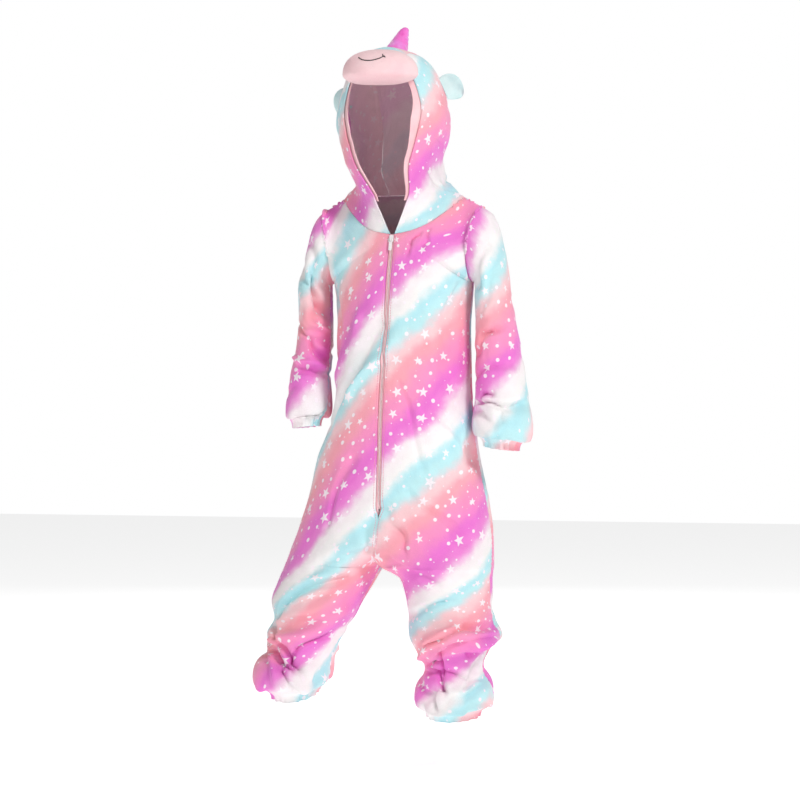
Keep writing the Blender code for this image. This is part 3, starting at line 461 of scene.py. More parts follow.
# Longer creases of the front, measured in the photograph: group, how far before the middle
# the cloth lies there, width, height, and the column and row of several points
creaseLines = {
    "right elbow pull": ("sleeve", 0.050, 0.010, -0.0085,
        ((311, 281), (320, 304), (331, 323), (335, 339))),
    "right forearm pull": ("sleeve", 0.050, 0.008, -0.0068,
        ((315, 343), (323, 357), (335, 368))),
    "right forearm fold": ("sleeve", 0.055, 0.008, -0.0065,
        ((302, 368), (316, 374), (333, 374))),
    "right elbow roll": ("sleeve", 0.055, 0.012, 0.0050,
        ((303, 300), (311, 318), (322, 334))),
    "right cuff fold": ("sleeve", 0.065, 0.005, -0.0030,
        ((292, 412), (326, 402))),
    "left forearm fold": ("sleeve", 0.050, 0.008, -0.0060,
        ((477, 399), (491, 394))),
    "left forearm trough": ("sleeve", 0.050, 0.008, -0.0070,
        ((481, 404), (500, 405), (520, 404))),
    "left cuff trough": ("sleeve", 0.050, 0.007, -0.0058,
        ((477, 411), (502, 415))),
    "left cuff roll": ("sleeve", 0.060, 0.009, 0.0030,
        ((482, 426), (500, 432), (521, 430))),
    "chest to hip": ("body", 0.115, 0.012, -0.0068,
        ((380, 328), (356, 356), (340, 386), (325, 425))),
    "chest roll": ("body", 0.115, 0.016, 0.0044,
        ((390, 338), (369, 364), (353, 394))),
    "neck pull": ("body", 0.090, 0.005, -0.0030,
        ((416, 233), (406, 251))),
    "neck pull beside it": ("body", 0.090, 0.005, -0.0026,
        ((426, 230), (421, 245))),
    "right thigh": ("body", 0.120, 0.008, -0.0066,
        ((276, 617), (279, 609), (293, 599), (311, 590), (340, 580))),
    "right thigh roll": ("body", 0.120, 0.012, 0.0040,
        ((280, 628), (300, 614), (328, 603))),
    "right shin": ("body", 0.130, 0.006, -0.0070,
        ((268, 632), (271, 639), (284, 652), (291, 667), (300, 671))),
    "right shin inside": ("body", 0.130, 0.006, -0.0055,
        ((334, 637), (327, 650), (311, 677))),
    "right ankle": ("body", 0.135, 0.006, -0.0060,
        ((258, 657), (271, 660), (284, 667), (301, 672))),
    "right ankle roll": ("body", 0.135, 0.009, 0.0036,
        ((264, 664), (282, 680), (305, 688))),
    "left knee": ("body", 0.100, 0.007, -0.0064,
        ((426, 644), (461, 626), (476, 628), (496, 631))),
    "left knee below": ("body", 0.100, 0.006, -0.0060,
        ((436, 653), (446, 649), (476, 641), (496, 635))),
    "left shin outside": ("body", 0.095, 0.005, -0.0058,
        ((465, 656), (478, 651), (489, 645))),
    "left shin roll": ("body", 0.095, 0.009, 0.0040,
        ((430, 657), (455, 646), (490, 640))),
    "left shin nick": ("body", 0.090, 0.005, -0.0060,
        ((422, 665), (436, 664))),
    "left shin inside": ("body", 0.090, 0.006, -0.0058,
        ((426, 669), (434, 676), (443, 685))),
    "left shin upright": ("body", 0.090, 0.005, -0.0044,
        ((436, 654), (442, 685))),
    "left shin upright outside": ("body", 0.090, 0.005, -0.0044,
        ((476, 655), (462, 685))),
    "left ankle nick": ("body", 0.090, 0.006, -0.0050,
        ((424, 692), (436, 697))),
    "left ankle roll": ("body", 0.085, 0.008, 0.0030,
        ((432, 703), (460, 706), (486, 700))),
    "left ankle": ("body", 0.085, 0.005, -0.0034,
        ((440, 713), (459, 714), (480, 712))),
}
drape = {
    "deep": 1.9, "creaseDeep": 1.75, "bank": 0.55, "fall": 0.75, "fadeFrom": -0.1, "fadeTo": 0.5,
    "wander": 0.55, "wanderTurns": 4.2, "wanderShift": 1.7, "uneven": 0.30, "unevenTurns": 2.6,
    "swell": 0.0024, "swellSize": 0.052, "crinkle": 0.00065, "crinkleSize": 0.015,
    "crinkleShift": 7.0,
    "squash": {"body": (1.0, 1.0, 0.42), "sleeve": (1.0, 1.0, 0.8), "hood": (1.0, 1.0, 1.0)},
    "seamDip": 0.0011, "seamWidth": 0.0042, "pucker": 0.0006, "puckerPitch": 0.011,
}


def fromPhoto(depth, points):
    # X and Z on the suit, to the millimetre, of points measured in the photograph
    turn = math.radians(photo["turn"])
    share = 1.0 - depth / photo["distance"]
    line = []
    for column, row in points:
        aside = (column - photo["column"]) * photo["pixel"] * share + depth * math.sin(turn)
        rise = ((photo["row"] - row) * photo["pixel"] - photo["level"]) * share
        line.append((round(aside / math.cos(turn), 3), round(photo["level"] + rise, 3)))
    return tuple(line)


def creaseAway(line, here):
    # Signed distance to a crease, share of the way along it, and reach past its ends
    best = numpy.full(here.shape[:2], 1e9)
    away, along, beyond = numpy.zeros_like(best), numpy.zeros_like(best), numpy.zeros_like(best)
    spans = [math.dist(one, two) for one, two in zip(line, line[1:])]
    for k, (one, two) in enumerate(zip(line, line[1:])):
        run = (numpy.array(two) - one) / spans[k]
        offset = here - numpy.array(one)
        place = offset @ run
        past = numpy.clip(-place, 0, None) + numpy.clip(place - spans[k], 0, None)
        aside = offset[..., 0] * run[1] - offset[..., 1] * run[0]
        apart = numpy.hypot(aside, past)
        nearer = apart < best
        best = numpy.where(nearer, apart, best)
        ends = ((k == 0) & (place < 0)) | ((k == len(spans) - 1) & (place > spans[k]))
        away = numpy.where(nearer, numpy.where(ends, aside, numpy.copysign(apart, aside)), away)
        beyond = numpy.where(nearer, numpy.where(ends, past, 0.0), beyond)
        share = (sum(spans[:k]) + numpy.clip(place, 0, spans[k])) / sum(spans)
        along = numpy.where(nearer, share, along)
    return away, along, beyond


def foldHeight(group, grid, normals):
    # Soft trough or ridge with a low bank on each side, wandering a little and fading at its ends
    total = numpy.zeros(grid.shape[:2])
    side, across = (1, 0) if group != "hoodSide" else (0, 1)
    here = numpy.stack((grid[..., across], grid[..., 2]), axis=-1)
    folds = [(kind, face, width, height * drape["deep"], ((x1, z1), (x2, z2)))
             for kind, face, x1, z1, x2, z2, width, height in foldRows]
    folds += [(kind, -1, width, height * drape["creaseDeep"], fromPhoto(depth, points))
              for kind, depth, width, height, points in creaseLines.values()]
    for index, (kind, face, width, height, line) in enumerate(folds):
        if kind != group:
            continue
        facing = ramp(drape["fadeFrom"], drape["fadeTo"], face * normals[..., side])
        away, along, beyond = creaseAway(line, here)
        turns = along * (drape["wanderTurns"] + index % 3) + index * drape["wanderShift"]
        away = away + drape["wander"] * width * numpy.sin(turns)
        uneven = numpy.sin(along * drape["unevenTurns"] + index) - 1.0
        near = (away / (width * (1.0 + drape["uneven"] * uneven))) ** 2
        profile = (1.0 - drape["bank"] * near) * numpy.exp(-drape["fall"] * near)
        total += facing * height * profile * numpy.exp(-(beyond / width) ** 2)
    return total


def gridNormals(grid, wrap, inside):
    if wrap:
        across = numpy.roll(grid, -1, axis=1) - numpy.roll(grid, 1, axis=1)
    else:
        across = numpy.gradient(grid, axis=1)
    along = numpy.gradient(grid, axis=0)
    normals = numpy.cross(across, along)
    normals /= numpy.maximum(numpy.linalg.norm(normals, axis=2, keepdims=True), 1e-12)
    if (normals * (grid - inside)).sum() < 0.0:
        normals = -normals
    return normals


def borderPlaces(grid, wrap):
    rows, columns = grid.shape[:2]
    places = [(i, j) for i in (0, rows - 1) for j in range(columns)]
    if not wrap:
        places += [(i, j) for j in (0, columns - 1) for i in range(1, rows - 1)]
    return places


def shareNormals(pieces):
    # Points that meet at a seam take one normal, so that the panels stay together there
    places = []
    for name, piece in pieces.items():
        piece["normals"] = gridNormals(piece["grid"], piece["wrap"], piece["inside"])
        places += [(name, i, j) for i, j in borderPlaces(piece["grid"], piece["wrap"])]
    tree = KDTree(len(places))
    for index, (name, i, j) in enumerate(places):
        tree.insert(pieces[name]["grid"][i, j], index)
    tree.balance()
    own = {name: piece["normals"].copy() for name, piece in pieces.items()}
    for name, i, j in places:
        total = numpy.zeros(3)
        for _, index, _ in tree.find_range(pieces[name]["grid"][i, j], suit["seamHalf"] / 5):
            other, k, m = places[index]
            total += own[other][k, m]
        pieces[name]["normals"][i, j] = total / max(numpy.linalg.norm(total), 1e-12)


def arcLengths(grid, axis):
    gaps = numpy.linalg.norm(numpy.diff(grid, axis=axis), axis=2)
    start = numpy.zeros_like(numpy.take(gaps, [0], axis=axis))
    return numpy.concatenate((start, numpy.cumsum(gaps, axis=axis)), axis=axis)


def seamDistance(grid, wrap, sides):
    # Distance along the cloth to the nearest of the piece's sewn sides
    along, across = arcLengths(grid, 0), arcLengths(grid, 1)
    nearest = numpy.full(grid.shape[:2], 1.0)
    if "first" in sides:
        nearest = numpy.minimum(nearest, along)
    if "last" in sides:
        nearest = numpy.minimum(nearest, along[-1:] - along)
    if "start" in sides and not wrap:
        nearest = numpy.minimum(nearest, across)
    if "end" in sides and not wrap:
        nearest = numpy.minimum(nearest, across[:, -1:] - across)
    return nearest


def swellHeight(points, group):
    # Broad, low unevenness of plush over air, and a finer crinkle
    squash = numpy.array(drape["squash"][group])
    height = numpy.zeros(points.shape[:2])
    for i in range(points.shape[0]):
        for j in range(points.shape[1]):
            place = points[i, j] * squash
            broad = noise.noise(Vector(place / drape["swellSize"]))
            fine = noise.noise(Vector(place / drape["crinkleSize"] + drape["crinkleShift"]))
            height[i, j] = drape["swell"] * broad + drape["crinkle"] * fine
    return height


def openSeams(grid, wrap, first, foot):
    # Draw every border back from its seam by half the seam's gap
    def shift(edge, inner, reach):
        way = inner - edge
        return edge + way / numpy.maximum(numpy.linalg.norm(way, axis=-1, keepdims=True), 1e-9) * reach

    moved = grid.copy()
    moved[0] = shift(grid[0], grid[1], first)
    moved[-1] = shift(grid[-1], grid[-2], suit["seamHalf"])
    if not wrap:
        moved[:, 0] = shift(moved[:, 0], moved[:, 1], foot)
        moved[:, -1] = shift(moved[:, -1], moved[:, -2], suit["seamHalf"])
    return moved


# The cut of each piece: flat width and length, and the print's shift along the cloth
cut = {
    "front_right": ((0.26, 0.82), 0.147, -0.012), "front_left": ((0.27, 0.84), 0.159, -0.012),
    "back_right": ((0.26, 0.86), 0.150, 0.060), "back_left": ((0.27, 0.88), 0.160, 0.060),
    "sleeve_right": ((0.24, 0.34), 0.066, 0.020), "sleeve_left": ((0.27, 0.38), 0.084, 0.010),
    "hood_side_right": ((0.22, 0.30), 0.047, 0.083), "hood_side_left": ((0.22, 0.30), 0.046, 0.083),
    "hood_crown": ((0.09, 0.50), 0.031, 0.000),
    "wrist_hem_right": ((0.24, 0.026), 0.0045, 0.0), "wrist_hem_left": ((0.24, 0.026), 0.0057, 0.0),
    "ankle_hem_right": ((0.36, 0.030), 0.0083, 0.0), "ankle_hem_left": ((0.36, 0.030), 0.0094, 0.0),
    "hood_facing_right": ((0.025, 0.33), 0.0064, 0.0),
    "hood_facing_left": ((0.025, 0.33), 0.0064, 0.0),
    "zip_tape_right": ((0.012, 0.45), 0.0050, 0.0), "zip_tape_left": ((0.012, 0.45), 0.0050, 0.0),
}
# How the print is laid: closer where the legs bunch, and leaning more on one panel above the hip
layout = {"bunchStart": -0.600, "bunchShare": 0.50, "crownTop": 0.30,
          "lean": 0.28, "moreLean": 0.24, "leanFrom": -0.32, "leanTo": -0.12}


def frontMost(grid, face):
    order = numpy.argmin(face * -grid[..., 1], axis=1)
    rows = numpy.arange(grid.shape[0])
    return grid[rows, order, 0][:, None], rows, order


def clothUv(name, grid, side, face):
    # Metres over the flat cloth: rightwards as seen from outside, and upwards
    across = arcLengths(grid, 1)
    if name.startswith("hood_side"):
        along = arcLengths(grid, 0)
        return numpy.stack((side * along, grid[:, :1, 2] + across), axis=-1)
    if name == "hood_crown":
        middle = across[:, across.shape[1] // 2][:, None]
        return numpy.stack((across - middle, layout["crownTop"] - arcLengths(grid, 0)), axis=-1)
    x, rows, order = frontMost(grid, face)
    flatX = x + side * (across - across[rows, order][:, None])
    z = grid[..., 2]
    flatZ = z + layout["bunchShare"] * numpy.minimum(z - layout["bunchStart"], 0.0)
    if name.startswith("back"):
        # Over the shoulders the print follows the cloth and not the height
        under, along = len(yokeMarks) - 1, arcLengths(grid, 0)
        flatZ[:under] = z[under] + along[under] - along[:under]
    if name == "front_right":
        # This panel was cut with the bands leaning more
        more = layout["moreLean"] * ramp(layout["leanFrom"], layout["leanTo"], z)
        flatZ = flatZ - flatX * (layout["lean"] + more)
    return numpy.stack((-face * flatX if face > 0 else flatX, flatZ), axis=-1)


def toMesh(name, grid, wrap, uv, inside):
    # Quads over a grid of points, with the print's own UV map, facing away from the inside
    rows, columns = grid.shape[:2]
    last = columns if wrap else columns - 1
    faces = []
    corners = []
    for i in range(rows - 1):
        for j in range(last):
            k = (j + 1) % columns
            faces.append((i * columns + j, i * columns + k, (i + 1) * columns + k,
                          (i + 1) * columns + j))
            corners.append(((i, j), (i, j + 1), (i + 1, j + 1), (i + 1, j)))
    points = grid.reshape(-1, 3)
    quad = faces[len(faces) // 2]
    way = numpy.cross(points[quad[1]] - points[quad[0]], points[quad[3]] - points[quad[0]])
    normals = gridNormals(grid, wrap, inside).reshape(-1, 3)
    if way @ normals[quad[0]] < 0.0:
        faces = [face[::-1] for face in faces]
        corners = [corner[::-1] for corner in corners]
    mesh = bpy.data.meshes.new(name)
    mesh.from_pydata([tuple(point) for point in points], [], faces)
    layer = mesh.uv_layers.new(name="cloth")
    width = uv.shape[1]
    flat = [uv[i, min(j, width - 1)] for corner in corners for i, j in corner]
    layer.data.foreach_set("uv", numpy.array(flat).reshape(-1))
    piece = bpy.data.objects.new(name, mesh)
    bpy.context.collection.objects.link(piece)
    mesh.shade_smooth()
    return piece


def applyModifiers(piece):
    bpy.ops.object.select_all(action="DESELECT")
    bpy.context.view_layer.objects.active = piece
    piece.select_set(True)
    for modifier in list(piece.modifiers):
        bpy.ops.object.modifier_apply(modifier=modifier.name)


def thicken(piece, thickness):
    # Cloth has its thickness toward the inside
    shell = piece.modifiers.new("thickness", "SOLIDIFY")
    shell.thickness = thickness
    shell.offset = -1.0
    shell.use_even_offset = False
    applyModifiers(piece)
    piece.data.shade_smooth()
    piece.data.set_sharp_from_angle(angle=math.radians(60))


def clothPieces():
    pieces = {}
    for side, word in ((-1, "right"), (1, "left")):
        for face, part in ((-1, "front"), (1, "back")):
            pieces[part + "_" + word] = {
                "grid": bodyGrid(side, face), "wrap": False, "group": "body", "side": side,
                "face": face, "sewn": "first start end", "inside": (side * 0.07, 0.0, -0.40)}
        pieces["sleeve_" + word] = {
            "grid": sleeveGrid(side), "wrap": False, "group": "sleeve", "side": side,
            "face": -1, "sewn": "first start end", "inside": (side * 0.15, -0.01, -0.20)}
        pieces["hood_side_" + word] = {
            "grid": hoodSideGrid(side), "wrap": False, "group": "hood", "side": side,
            "face": -1, "sewn": "start end last", "inside": hoodShape["middle"]}
    pieces["hood_crown"] = {
        "grid": hoodCrownGrid(), "wrap": False, "group": "hood", "side": 1, "face": -1,
        "sewn": "start end last", "inside": hoodShape["middle"]}
    for name, piece in pieces.items():
        piece["uv"] = clothUv(name, piece["grid"], piece["side"], piece["face"])
        piece["uv"][..., 1] += cut[name][2]
    shareNormals(pieces)
    print("cloth grids laid out")
    for name, piece in pieces.items():
        grid, normals = piece["grid"], piece["normals"]
        height = foldHeight(piece["group"], grid, normals)
        if piece["group"] == "hood":
            height += foldHeight("hoodSide", grid, normals)
        height += swellHeight(grid, piece["group"])
        away = seamDistance(grid, piece["wrap"], piece["sewn"])
        along = arcLengths(grid, 0) + arcLengths(grid, 1)
        pucker = drape["pucker"] * numpy.sin(along * 2 * math.pi / drape["puckerPitch"])
        height -= (drape["seamDip"] + pucker) * numpy.exp(-(away / drape["seamWidth"]) ** 2)
        piece["grid"] = grid + normals * height[..., None]
    return pieces


# Elastic hems: how the cloth blouses and ripples above them, and their own rows of size and gather
hems = {
    "blouse": {"sleeve": {"reach": 0.056, "out": 0.0070, "sag": 0.016, "lower": 0.008},
               "body": {"reach": 0.046, "out": 0.0070, "sag": 0.013, "lower": 0.006}},
    "bulge": 1.35, "even": 0.75, "uneven": 0.35, "lobes": 2.0, "phases": {-1: 3.9, 1: 1.2},
    "rise": 0.034, "ripple": 0.0016, "wristGathers": 14, "ankleGathers": 16, "wobble": 0.18,
    "drop": 0.0165, "rows": 12,
}
hemShape = makeTable(
    "drop share gather",
    [
        (0.000, 1.00, 0.0010),
        (0.003, 0.91, 0.0013),
        (0.008, 0.80, 0.0021),
        (0.015, 0.76, 0.0023),
        (0.020, 0.79, 0.0017),
    ],
)


def ringShare(grid):
    # Share of the way round the last row of a sleeve or panel
    arc = arcLengths(grid, 1)[-1:]
    return arc / arc[:, -1:]


def gatherPhase(share, gathers):
    # Where each gather lies, a little unevenly spaced
    wobble = hems["wobble"] * numpy.sin(share * 2 * math.pi * 3) / gathers
    return 2 * math.pi * gathers * (share + wobble)


def rippleEnds(pieces):
    # The cloth blouses over an elastic hem, and gathers into small upright pleats where it runs in
    for piece in pieces.values():
        if piece["group"] not in ("body", "sleeve"):
            continue
        gathers = hems["wristGathers"] if piece["group"] == "sleeve" else hems["ankleGathers"] / 2
        blouse = hems["blouse"][piece["group"]]
        grid = piece["grid"]
        toEnd = arcLengths(grid, 0)[-1:] - arcLengths(grid, 0)
        near = 1.0 - numpy.clip(toEnd / blouse["reach"], 0.0, 1.0)
        bulge = numpy.sin(math.pi * near ** hems["bulge"])
        turns = gatherPhase(ringShare(grid), hems["lobes"]) + hems["phases"][piece["side"]]
        uneven = hems["even"] + hems["uneven"] * numpy.sin(turns)
        grid = grid + piece["normals"] * (bulge * blouse["out"] * uneven)[..., None]
        sag = bulge * blouse["sag"] * uneven + ramp(0.4, 1.0, near) * blouse["lower"]
        grid[..., 2] -= sag * ramp(0.0, 1.0, near * 2.0)
        phase = gatherPhase(ringShare(grid), gathers)
        reach = hems["rise"] * (0.75 + 0.25 * numpy.cos(phase / 3))
        fade = (1.0 - ramp(0.0, 1.0, toEnd / reach)) * hems["ripple"]
        piece["grid"] = grid + piece["normals"] * (fade * numpy.cos(phase))[..., None]


def runLength(points):
    # Distance along a line of points to each of them
    gaps = numpy.linalg.norm(numpy.diff(points, axis=0), axis=1)
    return numpy.concatenate(([0.0], numpy.cumsum(gaps)))


def hemPiece(ring, side, gathers, uvStart, levels):
    # Ring of cloth, drawn in by elastic, below the last row of a sleeve or leg
    middle = ring.mean(axis=0)
    arc = runLength(numpy.vstack((ring, ring[:1])))
    phase = gatherPhase(arc / arc[-1], gathers)
    arm = ring - middle
    flat = arm * (1.0, 1.0, 0.0)
    flat /= numpy.linalg.norm(flat, axis=1, keepdims=True)
    grid, uv = [], []
    first = readAt(hemShape, "gather", 0.0)
    for row in range(hems["rows"] + 1):
        drop = hems["drop"] * row / hems["rows"]
        size, gather = readAt(hemShape, "share", drop), readAt(hemShape, "gather", drop) - first
        line = middle + arm * size + flat * (gather * numpy.cos(phase[:-1]))[:, None]
        line[:, 2] = ring[:, 2] - drop
        grid.append(line)
        uv.append(numpy.stack((uvStart + side * arc, levels - drop), axis=-1))
    return {"grid": numpy.array(grid), "wrap": True, "group": "hem", "side": side,
            "uv": numpy.array(uv), "inside": tuple(middle)}


def addHems(pieces):
    for side, word in ((-1, "right"), (1, "left")):
        front, back = pieces["front_" + word], pieces["back_" + word]
        ankle = numpy.vstack((front["grid"][-1], back["grid"][-1][::-1][1:-1]))
        wrist = pieces["sleeve_" + word]["grid"][-1][:-1]
        sleeve = pieces["sleeve_" + word]["uv"][-1]
        behind = back["uv"][-1, :, 1][::-1] + front["uv"][-1, -1, 1] - back["uv"][-1, -1, 1]
        levels = numpy.concatenate((front["uv"][-1, :, 1], behind[1:]))
        pieces["ankle_hem_" + word] = hemPiece(
            ankle, side, hems["ankleGathers"], front["uv"][-1, 0, 0], levels)
        pieces["wrist_hem_" + word] = hemPiece(
            wrist, side, hems["wristGathers"], sleeve[0, 0], sleeve[:, 1])


# Lining strip of the face opening, with its soft turned edge
facing = {"lipRows": 5, "ribReach": 1 / 14, "columnStart": 2 / 14, "gapSpread": 0.5,
          "lip": 0.002, "lipSteps": ((0.007, 0.05, 0.35), (-0.008, 0.50, 0.62)),
          "flare": {"right": 0.002, "left": 0.009}, "flareSpan": (0.34, 0.50, 0.70, 0.80)}


def lipReach(u):
    # How far the strip reaches past the cloth's edge, most in its lower half
    return facing["lip"] + sum(size * float(ramp(low, high, u))
                               for size, low, high in facing["lipSteps"])


def lipFlare(u):
    # How much the strip turns in over the opening, halfway up
    start, full, fade, end = facing["flareSpan"]
    return float(ramp(start, full, u) * (1.0 - ramp(fade, end, u)))


def facingPieces(pieces):
    crown = pieces["hood_crown"]
    half = crown["grid"].shape[1] // 2
    ribs = [i for i, mark in enumerate(yokeMarks) if mark <= facing["ribReach"] + 1e-6][::-1]
    columns = [j for j, mark in enumerate(sideMarks) if mark >= facing["columnStart"] - 1e-6]
    made = {}
    for side, word in ((-1, "right"), (1, "left")):
        panel = pieces["hood_side_" + word]
        crownColumns = range(1, half + 1) if side < 0 else range(2 * half - 1, half - 1, -1)
        rows = []
        for rib in ribs:
            more = facing["gapSpread"] * yokeMarks[rib] / facing["ribReach"]
            depth = suit["clothThick"] + suit["facingGap"] * (1.0 + more)
            points = [panel["grid"][rib, j] - panel["normals"][rib, j] * depth for j in columns]
            points += [crown["grid"][rib, j] - crown["normals"][rib, j] * depth
                       for j in crownColumns]
            rows.append(numpy.array(points))
        way = rows[-1] - rows[0]
        way /= numpy.linalg.norm(way, axis=1, keepdims=True)
        shares = [sideMarks[j] for j in columns] + [yokeMarks[-1]] * len(crownColumns)
        for k, j in enumerate(crownColumns):
            shares[len(columns) + k] = crownMarks[min(k + 1, len(crownMarks) - 1)]
        reach = numpy.array([lipReach(share) for share in shares])[:, None]
        flare = numpy.array([lipFlare(share) for share in shares])[:, None] * facing["flare"][word]
        edge = rows[-1]
        for k in range(1, facing["lipRows"] + 1):
            share = k / facing["lipRows"]
            rows.append(edge + way * reach * share + flare * share * (-side, 0.0, 0.0))
        grid = numpy.array(rows)
        uv = numpy.stack((arcLengths(grid, 0), arcLengths(grid, 1)), axis=-1)
        made["hood_facing_" + word] = {"grid": grid, "uv": uv, "wrap": False, "group": "facing",
                                       "side": side, "inside": panel["inside"]}
    return made


# Zip: woven tapes under the cloth's edges, a moulded coil between them and thread beside them
zipper = {
    "under": 0.008, "tapeBeyond": 0.011,
    "tapeRise": ((0.0037, 0.0028), (0.0033, 0.0016), (0.0028, 0.0011), (0.0022, 0.0012),
                 (0.0017, 0.0020), (0.0010, 0.0026), (0.0004, 0.0027)),
    "shutDepth": 0.0030, "shutDip": 4.0, "tapeGap": 0.0003,
    "pitch": 0.0022, "toothWide": 0.0030, "toothTall": 0.000946, "toothDeep": 0.0012,
    "toothPast": 0.0004, "sunk": 0.0009,
    "stitch": 0.0030, "stitchGap": 0.0012, "stitchInset": 0.0034, "stitchLift": 0.0001,
    "stitchEnd": 0.030, "threadRadius": 0.00034, "threadWide": 2.2, "threadTall": 1.6,
}


def zipRows(pieces, beyond=0.0):
    rows = []
    right, left = pieces["front_right"], pieces["front_left"]
    for i in range(len(yokeMarks) - 1, right["grid"].shape[0]):
        if right["grid"][i, 0, 2] < suit["zipEndZ"] - beyond:
            break
        rows.append(i)
    return rows, {-1: right, 1: left}


def tapePieces(pieces):
    rows, panels = zipRows(pieces, zipper["tapeBeyond"])
    made = {}
    for side, word in ((-1, "right"), (1, "left")):
        panel = panels[side]
        grid = []
        for i in rows:
            edge, normal = panel["grid"][i, 0], panel["normals"][i, 0]
            across = panel["grid"][i, 3] - edge
            across = across / numpy.linalg.norm(across)
            level = edge - normal * (suit["clothThick"] + 2 * suit["layerGap"])
            under = level + across * zipper["under"] - normal * suit["layerGap"]
            middle = (panels[-1]["grid"][i, 0, 0] + panels[1]["grid"][i, 0, 0]) / 2
            line = [under, (under + level) / 2, level]
            ajar = min(1.0, abs(edge[0] - middle) / suit["zipHalf"])
            for reach, depth in zipper["tapeRise"]:
                dip = (1.0 - ajar) * max(0.0, zipper["shutDepth"] - depth) * zipper["shutDip"]
                point = edge - normal * (depth + dip)
                point[0] = middle + side * max(reach * ajar, zipper["tapeGap"])
                line.append(point)
            grid.append(line)
        grid = numpy.array(grid)
        uv = numpy.stack((arcLengths(grid, 1), arcLengths(grid, 0)), axis=-1)
        made["zip_tape_" + word] = {"grid": grid, "uv": uv, "wrap": False, "group": "tape",
                                    "side": side, "inside": (0.0, 0.0, -0.28)}
    return made


def evenPath(points, pitch):
    # Points at an even pitch along a path, each with the path's direction
    points = numpy.array(points)
    arc = runLength(points)
    places = numpy.arange(pitch / 2, arc[-1], pitch)
    even = numpy.stack([numpy.interp(places, arc, points[:, k]) for k in range(3)], axis=-1)
    way = numpy.gradient(even, axis=0)
    return even, way / numpy.linalg.norm(way, axis=1, keepdims=True)


def fromBm(name, bm, angle=50):
    bmesh.ops.recalc_face_normals(bm, faces=bm.faces)
    mesh = bpy.data.meshes.new(name)
    bm.to_mesh(mesh)
    bm.free()
    piece = bpy.data.objects.new(name, mesh)
    bpy.context.collection.objects.link(piece)
    mesh.shade_smooth()
    mesh.set_sharp_from_angle(angle=math.radians(angle))
    return piece


# One small bar, two metres each way until it is laid: the chamfer of its long edges, where its
# ends begin to narrow, and how narrow they are
bar = {"chamfer": 0.28, "endsFrom": 0.72, "endSize": 0.62, "creaseAngle": 50}


def modelBar():
    # A cube made into a bar along X, for the zip's teeth and the stitches
    bpy.ops.object.select_all(action="DESELECT")
    bpy.ops.mesh.primitive_cube_add(size=2.0, calc_uvs=False)
    piece = bpy.context.active_object
    bpy.ops.object.mode_set(mode="EDIT")
    bpy.ops.mesh.select_mode(type="EDGE")
    bpy.ops.mesh.select_all(action="DESELECT")
    mesh = bmesh.from_edit_mesh(piece.data)
    for edge in mesh.edges:
        edge.select_set(abs(edge.verts[0].co.x - edge.verts[1].co.x) > 1.0)
    bmesh.update_edit_mesh(piece.data)
    bpy.ops.mesh.bevel(offset=bar["chamfer"], segments=1, affect="EDGES")
    for place in (-bar["endsFrom"], bar["endsFrom"]):
        bpy.ops.mesh.select_all(action="SELECT")
        bpy.ops.mesh.bisect(plane_co=(place, 0.0, 0.0), plane_no=(1.0, 0.0, 0.0))
    bpy.ops.mesh.select_mode(type="VERT")
    bpy.ops.mesh.select_all(action="DESELECT")
    mesh = bmesh.from_edit_mesh(piece.data)
    for vert in mesh.verts:
        vert.select_set(abs(vert.co.x) > (1.0 + bar["endsFrom"]) / 2)
    bmesh.update_edit_mesh(piece.data)
    bpy.ops.transform.resize(value=(1.0, bar["endSize"], bar["endSize"]),
                             center_override=(0.0, 0.0, 0.0))
    bpy.ops.object.mode_set(mode="OBJECT")
    return piece


def layBars(name, model, places, wide, deep):
    # Copies of the bar, each with its own mesh, laid from start to end and joined to one piece
    bpy.ops.object.select_all(action="DESELECT")
    for start, end, out in places:
        side = out.cross(end - start).normalized()
        turn = Matrix(((end - start) / 2, side * wide / 2, out * deep / 2)).transposed().to_4x4()
        piece = model.copy()
        piece.data = model.data.copy()
        piece.data.transform(Matrix.Translation((start + end) / 2) @ turn)
        bpy.context.collection.objects.link(piece)
        piece.select_set(True)
    bpy.context.view_layer.objects.active = piece
    bpy.ops.object.join()
    piece.name = piece.data.name = name
    piece.data.shade_smooth()
    piece.data.set_sharp_from_angle(angle=math.radians(bar["creaseAngle"]))
    return piece


def zipTeeth(pieces, model):
    rows, panels = zipRows(pieces)
    path = []
    for i in rows:
        normal = panels[-1]["normals"][i, 0] + panels[1]["normals"][i, 0]
        normal = normal * (0.0, 1.0, 1.0)
        normal = normal / numpy.linalg.norm(normal)
        middle = (panels[-1]["grid"][i, 0] + panels[1]["grid"][i, 0]) / 2
        path.append(middle - normal * (zipper["sunk"] + zipper["toothDeep"] / 2))
    places = []
    for k, (point, way) in enumerate(zip(*evenPath(path, zipper["pitch"] / 2))):
        out = Vector(numpy.cross((1.0, 0.0, 0.0), way))
        if out.y > 0.0:
            out = -out
        side = -1 if k % 2 else 1
        start = Vector(point) - Vector((side * zipper["toothPast"], 0.0, 0.0))
        end = Vector(point) + Vector((side * zipper["toothWide"] / 2, 0.0, 0.0))
        places.append((start, end, out))
    return layBars("zip_teeth", model, places, zipper["toothTall"], zipper["toothDeep"])


def stitchRow(points, normals):
    # Thread lying in short stitches along a line on the cloth
    tree = KDTree(len(points))
    for index, point in enumerate(points):
        tree.insert(point, index)
    tree.balance()
    places = []
    for point, way in zip(*evenPath(points, zipper["stitch"] + zipper["stitchGap"])):
        out = Vector(normals[tree.find(point)[1]])
        half = Vector(way) * zipper["stitch"] / 2
        middle = Vector(point) + out * zipper["stitchLift"]
        places.append((middle - half, middle + half, out))
    return places


